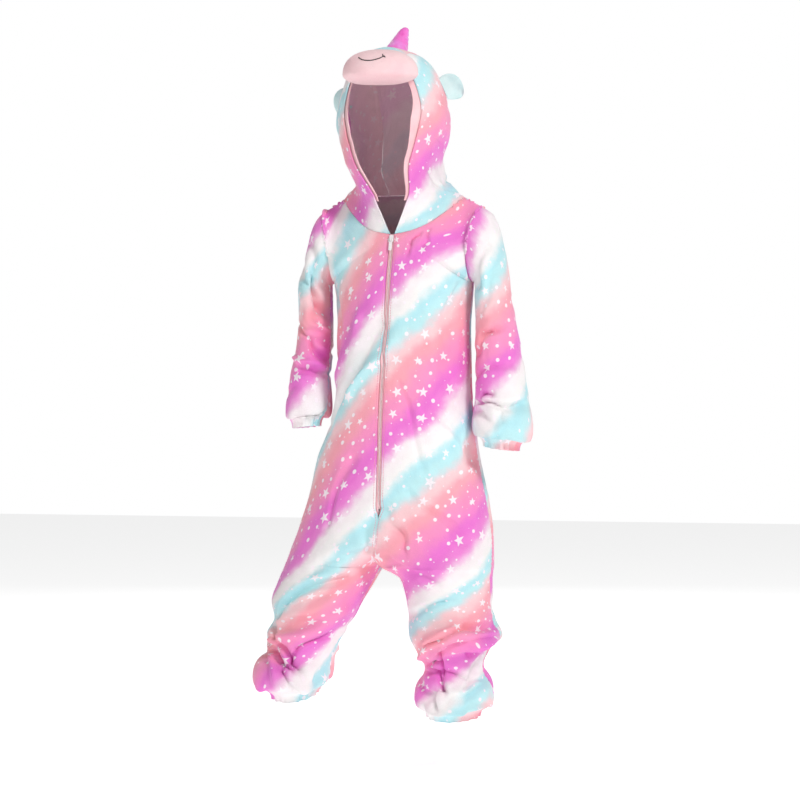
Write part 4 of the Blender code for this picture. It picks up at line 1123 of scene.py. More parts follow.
def edgeThread(pieces, model):
    # A row of stitches on each side of the zip, and on down the centre seam
    places = []
    for word in ("right", "left"):
        panel = pieces["front_" + word]
        grid, normals = panel["grid"], panel["normals"]
        points, outs = [], []
        for i in range(len(yokeMarks) - 1, grid.shape[0]):
            if grid[i, 0, 2] < suit["crotchZ"] + zipper["stitchEnd"]:
                break
            edge = grid[i, :8]
            arc = runLength(edge)
            points.append([numpy.interp(zipper["stitchInset"], arc, edge[:, k]) for k in range(3)])
            outs.append(normals[i, 1])
        places += stitchRow(points, outs)
    radius = zipper["threadRadius"]
    return layBars("zip_edge_thread", model, places, radius * zipper["threadWide"],
                   radius * zipper["threadTall"])


def hoodTree(pieces):
    points, faces = [], []
    for name in ("hood_side_right", "hood_side_left", "hood_crown"):
        grid = pieces[name]["grid"]
        rows, columns = grid.shape[:2]
        base = len(points)
        points += [Vector(point) for point in grid.reshape(-1, 3)]
        faces += [(base + i * columns + j, base + i * columns + j + 1,
                   base + (i + 1) * columns + j + 1, base + (i + 1) * columns + j)
                  for i in range(rows - 1) for j in range(columns - 1)]
    return BVHTree.FromPolygons(points, faces)


def closeRings(bm, lines, low, high):
    around = len(lines[0])
    for j in range(around):
        k = (j + 1) % around
        bm.faces.new((low, lines[0][k], lines[0][j]))
        bm.faces.new((high, lines[-1][j], lines[-1][k]))
        for first, second in zip(lines, lines[1:]):
            bm.faces.new((first[j], first[k], second[k], second[j]))


# Stuffed muzzle on the front of the crown, with an embroidered smile
muzzle = {"centre": Vector((0.0, -0.0763, 0.2060)), "side": 0.0620, "front": 0.0600, "back": 0.0065,
          "up": 0.0400, "down": 0.0175, "square": 2.3, "rings": 56, "around": 120,
          "dent": 0.0010, "dentSize": 0.030, "dentLevel": 0.4, "sag": 0.0016, "sagTurns": 95.0,
          "sagShift": 0.6, "sagLow": (-0.004, -0.020), "sagFront": (0.010, -0.040)}
smile = {"line": ((-0.0255, 0.0222), (-0.0205, 0.0186), (-0.0135, 0.0162), (-0.0050, 0.0155),
                  (0.0035, 0.0168), (0.0115, 0.0194), (0.0175, 0.0232)),
         "tick": ((0.0140, 0.0262), (0.0156, 0.0226), (0.0196, 0.0206)),
         "radius": 0.00085, "sunk": 0.00012, "parts": 8}


def buildMuzzle():
    power = 2.0 / muzzle["square"]

    def bend(value):
        return math.copysign(abs(value) ** power, value)

    def place(lat, lon):
        x = bend(math.cos(lat)) * bend(math.cos(lon))
        y = bend(math.cos(lat)) * bend(math.sin(lon))
        z = bend(math.sin(lat))
        point = Vector((
            x * muzzle["side"],
            y * (muzzle["back"] if y > 0 else muzzle["front"]),
            z * (muzzle["up"] if z > 0 else muzzle["down"]),
        ))
        # The stuffing leaves soft dents, most of all along the lower edge
        dent = muzzle["dent"] * (noise.noise(point / muzzle["dentSize"]) - muzzle["dentLevel"])
        lower = float(ramp(*muzzle["sagLow"], point.z)) * float(ramp(*muzzle["sagFront"], point.y))
        wave = math.sin(point.x * muzzle["sagTurns"] + muzzle["sagShift"])
        dent -= muzzle["sag"] * lower * (0.5 + 0.5 * wave)
        return headTurn(muzzle["centre"] + point * (1.0 + dent / max(point.length, 0.01)))

    bm = bmesh.new()
    low = bm.verts.new(place(-math.pi / 2, 0.0))
    high = bm.verts.new(place(math.pi / 2, 0.0))
    rings, around = muzzle["rings"], muzzle["around"]
    lines = []
    for i in range(1, rings):
        lat = -math.pi / 2 + math.pi * i / rings
        lines.append([bm.verts.new(place(lat, 2 * math.pi * j / around)) for j in range(around)])
    closeRings(bm, lines, low, high)
    return fromBm("muzzle_plush", bm, 80)


def addTube(bm, points, radius, around=10):
    # Round thread along a line, narrowed and closed at both ends
    lines = []
    for i, point in enumerate(points):
        way = (points[min(i + 1, len(points) - 1)] - points[max(i - 1, 0)]).normalized()
        first = way.orthogonal().normalized()
        if lines:
            first = (lastFirst - way * lastFirst.dot(way)).normalized()
        lastFirst = first
        second = way.cross(first)
        size = radius * (0.55 if i in (0, len(points) - 1) else 1.0)
        ring = []
        for j in range(around):
            angle = 2 * math.pi * j / around
            spoke = first * math.cos(angle) + second * math.sin(angle)
            ring.append(bm.verts.new(point + spoke * size))
        lines.append(ring)
    for one, two in zip(lines, lines[1:]):
        for j in range(around):
            k = (j + 1) % around
            bm.faces.new((one[j], one[k], two[k], two[j]))
    bm.faces.new(lines[0])
    bm.faces.new(lines[-1][::-1])


def smoothLine(points, parts):
    # Extra points between the given ones, on a smooth curve through them
    points = [Vector(point) for point in points]
    made = []
    for i in range(len(points) - 1):
        before, after = points[max(i - 1, 0)], points[min(i + 2, len(points) - 1)]
        first, second = points[i], points[i + 1]
        for k in range(parts):
            f = k / parts
            made.append(0.5 * (2 * first + (second - before) * f
                               + (2 * before - 5 * first + 4 * second - after) * f * f
                               + (3 * first - before - 3 * second + after) * f ** 3))
    return made + [points[-1]]


def buildSmile(body):
    tree = BVHTree.FromObject(body, bpy.context.evaluated_depsgraph_get())
    bm = bmesh.new()
    for name in ("line", "tick"):
        points = []
        for x, z in smoothLine(smile[name], smile["parts"]):
            start = muzzle["centre"] + Vector((x, -0.20, z))
            aim = (headTurn(muzzle["centre"] + Vector((x, 0.0, z))) - headTurn(start)).normalized()
            hit, normal = tree.ray_cast(headTurn(start), aim)[:2]
            points.append(hit + normal * (smile["radius"] * 0.5 - smile["sunk"]))
        addTube(bm, points, smile["radius"])
    return fromBm("smile_thread", bm)


# Stuffed horn, a soft cone with a rounded tip and a few slack creases round it
horn = {"root": Vector((0.004, 0.012, 0.26)), "tipShift": (0.0135, 0.0120), "tipZ": 0.297,
        "footRadius": 0.0195, "tipRadius": 0.0055, "tipRise": 0.0035, "tipAt": 0.96, "lift": 0.0008,
        "footRows": 6, "rows": 26, "tipRows": (10, 24, 38, 52, 66, 80), "around": 64,
        "crease": 0.0006, "creaseTurns": 34.0, "creaseLean": 0.8,
        "sizes": ((0.0, 1.0), (0.2, 0.88), (0.4, 0.74), (0.6, 0.60), (0.8, 0.45), (0.92, 0.35))}


def buildHorn(tree):
    foot = headTurn(horn["root"])
    tip = Vector((foot.x + horn["tipShift"][0], foot.y + horn["tipShift"][1], horn["tipZ"]))
    around = horn["around"]

    def spread(j, radius):
        angle = 2 * math.pi * j / around
        return Vector((math.cos(angle), math.sin(angle), 0.0)) * radius

    def crownUnder(point):
        high = Vector((point.x, point.y, 1.0))
        return tree.ray_cast(high, Vector((0.0, 0.0, -1.0)))[0].z + horn["lift"]

    bm = bmesh.new()
    lines = []
    for i in range(1, horn["footRows"] + 1):
        line = []
        for j in range(around):
            point = foot + spread(j, horn["footRadius"] * i / horn["footRows"])
            point.z = crownUnder(point)
            line.append(bm.verts.new(point))
        lines.append(line)
    sizes = horn["sizes"]
    for i in range(1, horn["rows"] + 1):
        share = sizes[-1][0] * i / horn["rows"]
        k = max(n for n in range(len(sizes) - 1) if sizes[n][0] <= share)
        f = (share - sizes[k][0]) / (sizes[k + 1][0] - sizes[k][0])
        size = sizes[k][1] + (sizes[k + 1][1] - sizes[k][1]) * f
        line = []
        for j in range(around):
            base = crownUnder(foot + spread(j, horn["footRadius"]))
            angle = 2 * math.pi * j / around
            turns = share * horn["creaseTurns"] + horn["creaseLean"] * math.cos(angle + 1.0)
            crease = math.sin(turns) * math.cos(angle - 2.4)
            crease *= horn["crease"] * math.sin(math.pi * share)
            point = foot.lerp(tip, share) + spread(j, horn["footRadius"] * size + crease)
            point.z = base + (tip.z - base) * share
            line.append(bm.verts.new(point))
        lines.append(line)
    crest = foot.lerp(tip, horn["tipAt"])
    crest.z = tip.z - horn["tipRise"]
    for degrees in horn["tipRows"]:
        angle = math.radians(degrees)
        rise = Vector((0.0, 0.0, horn["tipRise"] * math.sin(angle)))
        lines.append([bm.verts.new(crest + spread(j, horn["tipRadius"] * math.cos(angle)) + rise)
                      for j in range(around)])
    low = bm.verts.new(Vector((foot.x, foot.y, crownUnder(foot))))
    high = bm.verts.new(crest + Vector((0.0, 0.0, horn["tipRise"] + 0.0001)))
    closeRings(bm, lines, low, high)
    return fromBm("horn_plush", bm, 80)


# Ears: two layers sewn together and turned, with a soft fold along the middle
ears = {
    "left": ((0.066, 0.045, 0.212), (0.62, 0.32, -0.50), (0.50, 0.135, 0.70)),
    "right": ((-0.078, 0.030, 0.200), (-0.34, 0.05, -0.93), (-0.90, -0.20, 0.35)),
    "length": 0.050, "halfWide": 0.021, "halfThick": 0.0035, "bow": 0.006, "least": 0.0008,
    "round": 0.85, "blunt": 0.6, "plump": 0.5, "rimFlat": 1.25, "dent": 0.0009, "dentSize": 0.014,
    "steps": 36, "around": 56,
}


def clearOf(tree, point):
    # The point itself, or one just outside the hood's surface where it would be within it
    hit, normal, _, _ = tree.find_nearest(point)
    if normal.dot(hit - hoodShape["middle"]) < 0.0:
        normal = -normal
    height = (point - hit).dot(normal)
    if height < ears["least"]:
        return point + normal * (ears["least"] - height)
    return point


def buildEar(word, tree):
    root, aim, flat = (Vector(value) for value in ears[word])
    root, aim = headTurn(root), aim.normalized()
    across = (flat - aim * flat.dot(aim)).normalized()
    thin = aim.cross(across).normalized()
    start = clearOf(tree, root)
    bm = bmesh.new()
    lines = []
    for i in range(1, ears["steps"]):
        share = i / ears["steps"]
        wide = ears["halfWide"] * math.sin(math.pi * share ** ears["round"]) ** ears["blunt"]
        line = []
        for j in range(ears["around"]):
            angle = 2 * math.pi * j / ears["around"]
            thick = ears["halfThick"] * math.sin(math.pi * share) ** ears["plump"]
            # Flat seam at the rim, fuller toward the middle
            body = math.copysign(abs(math.sin(angle)) ** ears["rimFlat"], math.sin(angle))
            point = start + aim * ears["length"] * share + across * wide * math.cos(angle)
            point += thin * (thick * body + ears["bow"] * math.cos(angle) ** 2)
            point += thin * ears["dent"] * noise.noise(point / ears["dentSize"])
            line.append(bm.verts.new(clearOf(tree, point)))
        lines.append(line)
    closeRings(bm, lines, bm.verts.new(start), bm.verts.new(start + aim * ears["length"]))
    return fromBm("ear_plush_" + word, bm, 80)


def linear(code):
    # sRGB hex to linear colour
    parts = [int(code[k:k + 2], 16) / 255 for k in (1, 3, 5)]
    made = [v / 12.92 if v <= 0.04045 else ((v + 0.055) / 1.055) ** 2.4 for v in parts]
    return (*made, 1.0)


def addNode(tree, kind, inputs=None, stops=None, **settings):
    # One node with its settings, links and fixed values, and the stops of a colour ramp
    node = tree.nodes.new("ShaderNode" + kind)
    for name, value in settings.items():
        setattr(node, name, value)
    for name, value in (inputs or {}).items():
        if isinstance(value, bpy.types.NodeSocket):
            tree.links.new(value, node.inputs[name])
        else:
            node.inputs[name].default_value = value
    if stops:
        node.color_ramp.interpolation = "EASE"
        marks = node.color_ramp.elements
        while len(marks) < len(stops):
            marks.new(0.5)
        for mark, (place, code) in zip(marks, stops):
            mark.position = place
            mark.color = linear(code)
    return node.outputs


def startMaterial(name):
    material = bpy.data.materials.new(name)
    material.use_nodes = True
    return material, material.node_tree, material.node_tree.nodes["Principled BSDF"]


# Coral-fleece plush: the dye is softer than ink at its edges, the nap 2 mm deep and brushed
fleece = {
    "bandAngle": 39.0, "bandPeriod": 0.202, "bandStart": 0.1065,
    "drifts": ((0.085, 0.020), (0.016, 0.007)),  # size and reach of the bands' uneven edges
    "bands": ((0.00, "#EE79D3"), (0.07, "#F086D6"), (0.19, "#FAF0F3"), (0.28, "#F9F6F5"),
              (0.38, "#B9E9F0"), (0.45, "#C2EDF1"), (0.56, "#FBD0D4"), (0.67, "#FDA9B7"),
              (0.84, "#FB97C6"), (1.00, "#EE79D3")),
    "marks": "#FFF5FA", "marksShow": 0.90,
    "stars": {"cell": 0.047, "scatter": 0.6, "size": 0.0105, "least": 0.62, "more": 0.45,
              "share": 0.85, "inner": 0.47, "edge": 0.16},
    "dots": {"cell": 0.023, "scatter": 0.65, "least": 0.0020, "most": 0.0040, "share": 0.72,
             "edge": 0.0008},
    "specks": {"cell": 0.017, "scatter": 0.65, "least": 0.0007, "most": 0.0013, "share": 0.40,
               "edge": 0.0007},
    "reverse": "#FBE6EC", "reverseShare": 0.78, "reverseLow": -0.15, "reverseWide": 0.106,
    "nap": 0.0014, "height": 0.0011, "roughness": 0.82, "sheen": 0.42,
    "patch": 0.028, "crush": 0.085,
}
# What every fleece here shares: tufts brushed one way, and tips that catch the light
pile = {"brush": 0.0055, "stretch": 0.30, "lie": 0.35, "brushed": 0.9, "strength": 0.85,
        "specular": 0.25, "sheenRough": 0.35, "sheenTint": "#FFF4F8", "tips": 0.24, "roots": 0.88}


def spotMask(tree, uv, spots):
    # Round printed dots, one in a share of the cells, each with its own size
    cells = addNode(tree, "TexVoronoi", {"Vector": uv, "Scale": 1 / spots["cell"],
                                         "Randomness": spots["scatter"]},
                    voronoi_dimensions="2D", feature="F1")
    away = addNode(tree, "VectorMath", {0: uv, 1: cells["Position"]}, operation="DISTANCE")["Value"]
    chance = addNode(tree, "SeparateColor", {"Color": cells["Color"]})
    size = addNode(tree, "Math", {0: chance["Red"], 1: spots["most"] - spots["least"],
                                  2: spots["least"]}, operation="MULTIPLY_ADD")[0]
    shown = addNode(tree, "Math", {0: chance["Green"], 1: spots["share"]}, operation="LESS_THAN")[0]
    depth = addNode(tree, "Math", {0: size, 1: away}, operation="SUBTRACT")[0]
    inside = addNode(tree, "Math", {0: depth, 1: spots["edge"]}, operation="DIVIDE", use_clamp=True)[0]
    return addNode(tree, "Math", {0: inside, 1: shown}, operation="MULTIPLY")[0]


def starMask(tree, uv, stars):
    # Five-pointed printed stars, each turned its own way
    cells = addNode(tree, "TexVoronoi", {"Vector": uv, "Scale": 1 / stars["cell"],
                                         "Randomness": stars["scatter"]},
                    voronoi_dimensions="2D", feature="F1")
    away = addNode(tree, "VectorMath", {0: uv, 1: cells["Position"]}, operation="SUBTRACT")["Vector"]
    parts = addNode(tree, "SeparateXYZ", {0: away})
    chance = addNode(tree, "SeparateColor", {"Color": cells["Color"]})
    radius = addNode(tree, "VectorMath", {0: away}, operation="LENGTH")["Value"]
    turn = addNode(tree, "Math", {0: parts["Y"], 1: parts["X"]}, operation="ARCTAN2")[0]
    own = addNode(tree, "Math", {0: chance["Blue"], 1: 5.0}, operation="MULTIPLY")[0]
    turns = addNode(tree, "Math", {0: turn, 1: 5 / (2 * math.pi), 2: own}, operation="MULTIPLY_ADD")[0]
    wedge = addNode(tree, "Math", {0: turns, 1: 0.5}, operation="PINGPONG")[0]
    fromTip = addNode(tree, "Math", {0: wedge, 1: 2 * math.pi / 5}, operation="MULTIPLY")[0]
    toNotch = addNode(tree, "Math", {0: math.pi / 5, 1: fromTip}, operation="SUBTRACT")[0]
    wide = addNode(tree, "Math", {0: fromTip}, operation="SINE")[0]
    narrow = addNode(tree, "Math", {0: toNotch}, operation="SINE")[0]
    below = addNode(tree, "Math", {0: narrow, 1: stars["inner"], 2: wide}, operation="MULTIPLY_ADD")[0]
    notch = stars["inner"] * math.sin(math.pi / 5) * stars["size"]
    rim = addNode(tree, "Math", {0: notch, 1: below}, operation="DIVIDE")[0]
    scale = addNode(tree, "Math", {0: chance["Red"], 1: stars["more"], 2: stars["least"]},
                    operation="MULTIPLY_ADD")[0]
    rim = addNode(tree, "Math", {0: rim, 1: scale}, operation="MULTIPLY")[0]
    depth = addNode(tree, "Math", {0: rim, 1: radius}, operation="SUBTRACT")[0]
    inside = addNode(tree, "Math", {0: depth, 1: stars["size"] * stars["edge"]},
                     operation="DIVIDE", use_clamp=True)[0]
    shown = addNode(tree, "Math", {0: chance["Green"], 1: stars["share"]}, operation="LESS_THAN")[0]
    return addNode(tree, "Math", {0: inside, 1: shown}, operation="MULTIPLY")[0]


def addNap(tree, shader, uv, cloth):
    # Fine brushed pile: tips catch the light, crushed patches lie darker
    fine = addNode(tree, "TexNoise", {"Vector": uv, "Scale": 1 / cloth["nap"], "Detail": 3.0,
                                      "Roughness": 0.6})["Fac"]
    stretched = addNode(tree, "Mapping", {"Vector": uv, "Scale": (1.0, pile["stretch"], 1.0),
                                          "Rotation": (0.0, 0.0, pile["lie"])})[0]
    brushed = addNode(tree, "TexNoise", {"Vector": stretched, "Scale": 1 / pile["brush"],
                                         "Detail": 2.0})["Fac"]
    both = addNode(tree, "Math", {0: brushed, 1: pile["brushed"], 2: fine},
                   operation="MULTIPLY_ADD")[0]
    bump = addNode(tree, "Bump", {"Height": both, "Strength": pile["strength"],
                                  "Distance": cloth["height"]})
    tree.links.new(bump["Normal"], shader.inputs["Normal"])
    shader.inputs["Roughness"].default_value = cloth["roughness"]
    shader.inputs["Specular IOR Level"].default_value = pile["specular"]
    shader.inputs["Sheen Weight"].default_value = cloth["sheen"]
    shader.inputs["Sheen Roughness"].default_value = pile["sheenRough"]
    shader.inputs["Sheen Tint"].default_value = linear(pile["sheenTint"])
    return fine


def crushed(tree, colour, uv, fine, cloth):
    # Lighter and darker patches where the pile lies over
    patches = addNode(tree, "TexNoise", {"Vector": uv, "Scale": 1 / cloth["patch"], "Detail": 3.0,
                                         "Roughness": 0.55})["Fac"]
    shade = addNode(tree, "Math", {0: patches, 1: 2 * cloth["crush"], 2: 1.0 - cloth["crush"]},
                    operation="MULTIPLY_ADD")[0]
    tips = addNode(tree, "Math", {0: fine, 1: pile["tips"], 2: pile["roots"]},
                   operation="MULTIPLY_ADD")[0]
    value = addNode(tree, "Math", {0: shade, 1: tips}, operation="MULTIPLY")[0]
    return addNode(tree, "VectorMath", {0: colour, 1: value}, operation="MULTIPLY")[0]


def paleInside(tree, colour):
    # The dye hardly reaches the cloth's reverse, which shows inside the hood and the neck
    spot = addNode(tree, "TexCoord")
    place = addNode(tree, "SeparateXYZ", {0: spot["Object"]})
    middle = hoodShape["middle"]
    across = addNode(tree, "Math", {0: place["X"], 1: middle.x}, operation="SUBTRACT")[0]
    behind = addNode(tree, "Math", {0: place["Y"], 1: middle.y}, operation="SUBTRACT")[0]
    above = addNode(tree, "Math", {0: place["Z"], 1: middle.z}, operation="SUBTRACT")[0]
    above = addNode(tree, "Math", {0: above, 1: 0.0}, operation="MAXIMUM")[0]
    away = addNode(tree, "CombineXYZ", {"X": across, "Y": behind, "Z": above})[0]
    toward = addNode(tree, "VectorMath", {0: away, 1: spot["Normal"]}, operation="DOT_PRODUCT")["Value"]
    inner = addNode(tree, "Math", {0: toward, 1: 0.0}, operation="LESS_THAN")[0]
    upper = addNode(tree, "Math", {0: place["Z"], 1: fleece["reverseLow"]}, operation="GREATER_THAN")[0]
    width = addNode(tree, "Math", {0: place["X"]}, operation="ABSOLUTE")[0]
    near = addNode(tree, "Math", {0: width, 1: fleece["reverseWide"]}, operation="LESS_THAN")[0]
    inner = addNode(tree, "Math", {0: inner, 1: upper}, operation="MULTIPLY")[0]
    inner = addNode(tree, "Math", {0: inner, 1: near}, operation="MULTIPLY")[0]
    inner = addNode(tree, "Math", {0: inner, 1: fleece["reverseShare"]}, operation="MULTIPLY")[0]
    return addNode(tree, "Mix", {"Factor": inner, 6: colour, 7: linear(fleece["reverse"])},
                   data_type="RGBA")[2]


def printedFleece(name):
    # Polyester coral fleece, transfer-printed with soft rainbow bands, stars and dots
    material, tree, shader = startMaterial(name)
    uv = addNode(tree, "UVMap", uv_map="cloth")["UV"]
    turned = addNode(tree, "Mapping", {
        "Vector": uv, "Rotation": (0.0, 0.0, -math.radians(fleece["bandAngle"]))})[0]
    height = addNode(tree, "SeparateXYZ", {0: turned})["Y"]
    for size, reach in fleece["drifts"]:
        cloud = addNode(tree, "TexNoise", {"Vector": uv, "Scale": 1 / size, "Detail": 2.0})["Fac"]
        drift = addNode(tree, "Math", {0: cloud, 1: 0.5}, operation="SUBTRACT")[0]
        height = addNode(tree, "Math", {0: drift, 1: 2 * reach, 2: height}, operation="MULTIPLY_ADD")[0]
    period = fleece["bandPeriod"]
    down = addNode(tree, "Math", {0: height, 1: -1 / period, 2: -fleece["bandStart"] / period},
                   operation="MULTIPLY_ADD")[0]
    down = addNode(tree, "Math", {0: down}, operation="FRACT")[0]
    colour = addNode(tree, "ValToRGB", {"Fac": down}, stops=fleece["bands"])["Color"]
    marks = starMask(tree, uv, fleece["stars"])
    for spots in (fleece["dots"], fleece["specks"]):
        marks = addNode(tree, "Math", {0: marks, 1: spotMask(tree, uv, spots)}, operation="MAXIMUM")[0]
    marks = addNode(tree, "Math", {0: marks, 1: fleece["marksShow"]}, operation="MULTIPLY")[0]
    colour = addNode(tree, "Mix", {"Factor": marks, 6: colour, 7: linear(fleece["marks"])},
                     data_type="RGBA")[2]
    colour = paleInside(tree, colour)
    fine = addNap(tree, shader, uv, fleece)
    tree.links.new(crushed(tree, colour, uv, fine, fleece), shader.inputs["Base Color"])
    return material


# Short-pile fleece: nap and depth of its pile, and the patches where it lies over
shortPile = {"nap": 0.0009, "height": 0.0007, "roughness": 0.86, "sheen": 0.35,
             "patch": 0.012, "crush": 0.03}


def plainFleece(name, light, deep, size, onCloth=False):
    # Short-pile fleece of one dye, paler where the pile stands up
    material, tree, shader = startMaterial(name)
    if onCloth:
        uv = addNode(tree, "UVMap", uv_map="cloth")["UV"]
    else:
        uv = addNode(tree, "TexCoord")["Object"]
    clouds = addNode(tree, "TexNoise", {"Vector": uv, "Scale": 1 / size, "Detail": 3.0})["Fac"]
    colour = addNode(tree, "ValToRGB", {"Fac": clouds}, stops=((0.30, deep), (0.62, light)))["Color"]
    fine = addNap(tree, shader, uv, shortPile)
    tree.links.new(crushed(tree, colour, uv, fine, shortPile), shader.inputs["Base Color"])
    return material


# The horn is cut from an orchid part of the printed plush, with one pale cloud in it
hornPrint = {
    "stops": ((0.30, "#F56BCB"), (0.46, "#F57FD4"), (0.58, "#F08FE0"), (0.66, "#FBD9E6")),
    "pale": "#FBEDEE", "place": (-0.0275, -0.004, 0.276), "radius": 0.0165, "edge": 0.006,
    "cloud": 0.0238, "fray": 0.010, "nap": 0.0014, "height": 0.0009, "roughness": 0.82,
    "sheen": 0.40, "patch": 0.012, "crush": 0.04,
}


def hornFleece(name):
    material, tree, shader = startMaterial(name)
    place = addNode(tree, "TexCoord")["Object"]
    cloud = addNode(tree, "TexNoise", {"Vector": place, "Scale": 1 / hornPrint["cloud"],
                                       "Detail": 2.0})["Fac"]
    colour = addNode(tree, "ValToRGB", {"Fac": cloud}, stops=hornPrint["stops"])["Color"]
    away = addNode(tree, "VectorMath", {0: place, 1: hornPrint["place"]}, operation="DISTANCE")["Value"]
    away = addNode(tree, "Math", {0: cloud, 1: hornPrint["fray"], 2: away},
                   operation="MULTIPLY_ADD")[0]
    depth = addNode(tree, "Math", {0: hornPrint["radius"], 1: away}, operation="SUBTRACT")[0]
    pale = addNode(tree, "Math", {0: depth, 1: hornPrint["edge"]}, operation="DIVIDE",
                   use_clamp=True)[0]
    colour = addNode(tree, "Mix", {"Factor": pale, 6: colour, 7: linear(hornPrint["pale"])},
                     data_type="RGBA")[2]
    fine = addNap(tree, shader, place, hornPrint)
    tree.links.new(crushed(tree, colour, place, fine, hornPrint), shader.inputs["Base Color"])
    return material


# Polyester zip tape: ribs of 0.6 mm, drawn coarser so that they show
weave = {"rib": 0.0040, "waver": 0.4, "strength": 0.5, "height": 0.0003, "roughness": 0.72,
         "sheen": 0.15, "low": "#F3B3BD", "high": "#FBD0D5"}


def wovenTape(name):
    material, tree, shader = startMaterial(name)
    uv = addNode(tree, "UVMap", uv_map="cloth")["UV"]
    ribs = addNode(tree, "TexWave", {"Vector": uv, "Scale": 1 / weave["rib"],
                                     "Distortion": weave["waver"]},
                   wave_type="BANDS", bands_direction="DIAGONAL")["Fac"]
    bump = addNode(tree, "Bump", {"Height": ribs, "Strength": weave["strength"],
                                  "Distance": weave["height"]})
    tree.links.new(bump["Normal"], shader.inputs["Normal"])
    stops = ((0.0, weave["low"]), (1.0, weave["high"]))
    colour = addNode(tree, "ValToRGB", {"Fac": ribs}, stops=stops)["Color"]
    tree.links.new(colour, shader.inputs["Base Color"])
    shader.inputs["Roughness"].default_value = weave["roughness"]
    shader.inputs["Sheen Weight"].default_value = weave["sheen"]
    return material


# Moulded, dyed or enamelled surface: a faint mottle and a finely uneven gloss
mottle = {"size": 0.004, "gloss": 0.12, "strength": 0.15, "height": 0.0002}


def smoothFinish(name, light, deep, roughness, coat=0.0):
    material, tree, shader = startMaterial(name)
    place = addNode(tree, "TexCoord")["Object"]
    cloud = addNode(tree, "TexNoise", {"Vector": place, "Scale": 1 / mottle["size"],
                                       "Detail": 4.0})["Fac"]
    colour = addNode(tree, "ValToRGB", {"Fac": cloud}, stops=((0.30, deep), (0.66, light)))
    tree.links.new(colour["Color"], shader.inputs["Base Color"])
    gloss = addNode(tree, "Math", {0: cloud, 1: mottle["gloss"], 2: roughness - mottle["gloss"] / 2},
                    operation="MULTIPLY_ADD")[0]
    tree.links.new(gloss, shader.inputs["Roughness"])
    bump = addNode(tree, "Bump", {"Height": cloud, "Strength": mottle["strength"],
                                  "Distance": mottle["height"]})
    tree.links.new(bump["Normal"], shader.inputs["Normal"])
    shader.inputs["Coat Weight"].default_value = coat
    return material


def give(piece, material, node=None):
    piece.data.materials.clear()
    piece.data.materials.append(material)
    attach(piece, "suit")
    if node:
        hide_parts(node)


def dressCloth():
    pieces = clothPieces()
    rippleEnds(pieces)
    addHems(pieces)
    made = dict(pieces)
    made.update(facingPieces(pieces))
    made.update(tapePieces(pieces))
    printed = printedFleece("printed coral fleece")
    pale = plainFleece("pale pink short-pile fleece", "#FBD3D6", "#F9C4CA", 0.05, onCloth=True)
    tape = wovenTape("woven polyester zip tape")
    thicknesses = {"facing": suit["facingThick"], "tape": suit["tapeThick"]}
    finishes = {"facing": (pale, "pale_fleece"), "tape": (tape, "zip_tape")}
    for name, piece in made.items():
        wrap, group = piece["wrap"], piece["group"]
        first = suit["armholeGap"] if group == "sleeve" else suit["seamHalf"]
        foot = suit["neckGap"] if name.startswith("hood_side") else suit["seamHalf"]
        grid = openSeams(piece["grid"], wrap, first, foot)
        cloth = toMesh(name + "_cloth", grid, wrap, piece["uv"], numpy.array(piece["inside"]))
        thicken(cloth, thicknesses.get(group, suit["clothThick"]))
        finish, slot = finishes.get(group, (printed, "printed_fleece"))
        give(cloth, finish, name)
    print("cloth pieces made:", len(made))
    return pieces


def dressTrims(pieces):
    tree = hoodTree(pieces)
    pink = plainFleece("pale pink muzzle fleece", "#FBDADC", "#F9CDD2", 0.07)
    mint = plainFleece("mint ear fleece", "#D6F1F0", "#C3E8E9", 0.03)
    body = buildMuzzle()
    give(body, pink, "muzzle")
    blackThread = smoothFinish("black rayon embroidery thread", "#2E2428", "#1B1518", 0.45)
    give(buildSmile(body), blackThread)
    cone = buildHorn(tree)
    give(cone, hornFleece("orchid printed horn fleece"), "horn")
    for word in ("left", "right"):
        ear = buildEar(word, tree)
        give(ear, mint, "ear_" + word)
    model = modelBar()
    coil = smoothFinish("moulded polyester coil", "#FBE9EA", "#F5D9DC", 0.42)
    give(zipTeeth(pieces, model), coil, "zip_coil")
    pinkThread = smoothFinish("pink polyester thread", "#F2A9BC", "#E795AC", 0.55)
    give(edgeThread(pieces, model), pinkThread)
    bpy.data.objects.remove(model)
    enamel = smoothFinish("white enamelled zinc", "#F6F3F3", "#EDE8E9", 0.28, coat=0.5)
    for node in ("zip_slider", "zip_pull"):
        for slot in bpy.data.objects[node].material_slots:
            slot.material = enamel
    print("trims made")


# Studio: pale paper floor, a soft key on one side, a fill on the other, and light above and behind
studio = {"floorZ": -0.925, "floorSize": 16.0, "floorCuts": 6, "floorGrain": 0.0167,
          "floorGlow": 0.58, "aim": Vector((-0.0066, 0.0, -0.322)), "azimuth": 15.0,
          "distance": 4.0, "lens": 109.0, "sensor": 36.0, "seen": 1.0, "world": 0.30,
          "lights": (("key", (2.6, -2.2, 2.2), 0.8, 88.0), ("fill", (-2.6, -2.4, 0.4), 2.6, 12.0),
                     ("top", (0.2, 0.6, 2.8), 2.6, 16.0), ("back", (-0.8, 3.0, 1.0), 2.4, 14.0))}


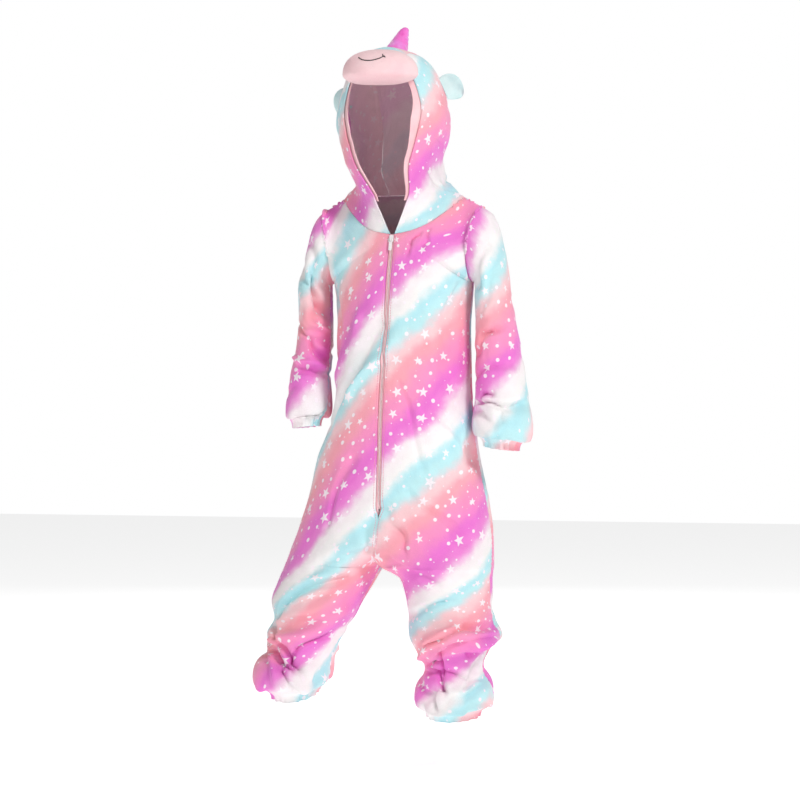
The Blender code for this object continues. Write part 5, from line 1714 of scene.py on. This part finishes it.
def buildStudio():
    bpy.ops.object.select_all(action="DESELECT")
    bpy.ops.mesh.primitive_plane_add(size=studio["floorSize"], location=(0, 0, studio["floorZ"]))
    floor = bpy.context.active_object
    floor.name = "studio_floor"
    bpy.ops.object.mode_set(mode="EDIT")
    bpy.ops.mesh.subdivide(number_cuts=studio["floorCuts"])
    bpy.ops.object.mode_set(mode="OBJECT")
    material, tree, shader = startMaterial("matt white paper")
    place = addNode(tree, "TexCoord")["Object"]
    grain = addNode(tree, "TexNoise", {"Vector": place, "Scale": 1 / studio["floorGrain"]})["Fac"]
    colour = addNode(tree, "ValToRGB", {"Fac": grain}, stops=((0.3, "#F4F4F4"), (0.7, "#F8F8F8")))
    tree.links.new(colour["Color"], shader.inputs["Base Color"])
    shader.inputs["Roughness"].default_value = 0.95
    shader.inputs["Specular IOR Level"].default_value = 0.1
    shader.inputs["Emission Color"].default_value = (1.0, 1.0, 1.0, 1.0)
    shader.inputs["Emission Strength"].default_value = studio["floorGlow"]
    floor.data.materials.append(material)
    world = bpy.data.worlds.new("studio")
    world.use_nodes = True
    bpy.context.scene.world = world
    background = world.node_tree.nodes["Background"]
    background.inputs["Color"].default_value = (1.0, 1.0, 1.0, 1.0)
    tree = world.node_tree
    seen = addNode(tree, "LightPath")["Is Camera Ray"]
    strength = addNode(tree, "Math", {0: seen, 1: studio["seen"] - studio["world"],
                                      2: studio["world"]}, operation="MULTIPLY_ADD")[0]
    tree.links.new(strength, background.inputs["Strength"])
    for name, place, size, power in studio["lights"]:
        light = bpy.data.lights.new(name, "AREA")
        light.shape = "DISK"
        light.size = size
        light.energy = power
        lamp = bpy.data.objects.new(name, light)
        lamp.location = place
        lamp.rotation_euler = (studio["aim"] - Vector(place)).to_track_quat("-Z", "Y").to_euler()
        bpy.context.collection.objects.link(lamp)
    turn = math.radians(studio["azimuth"])
    camera = bpy.data.objects.new("camera", bpy.data.cameras.new("camera"))
    camera.data.lens = studio["lens"]
    camera.data.sensor_width = studio["sensor"]
    away = Vector((math.sin(turn), -math.cos(turn), 0.0)) * studio["distance"]
    right = Vector((math.cos(turn), math.sin(turn), 0.0))
    aim = right * studio["aim"].x + Vector((0.0, 0.0, studio["aim"].z))
    camera.location = aim + away
    camera.rotation_euler = (-away).to_track_quat("-Z", "Y").to_euler()
    bpy.context.collection.objects.link(camera)
    bpy.context.scene.camera = camera
    print("studio ready")


bpy.context.scene.view_settings.view_transform = "Standard"
buildStudio()
dressTrims(dressCloth())
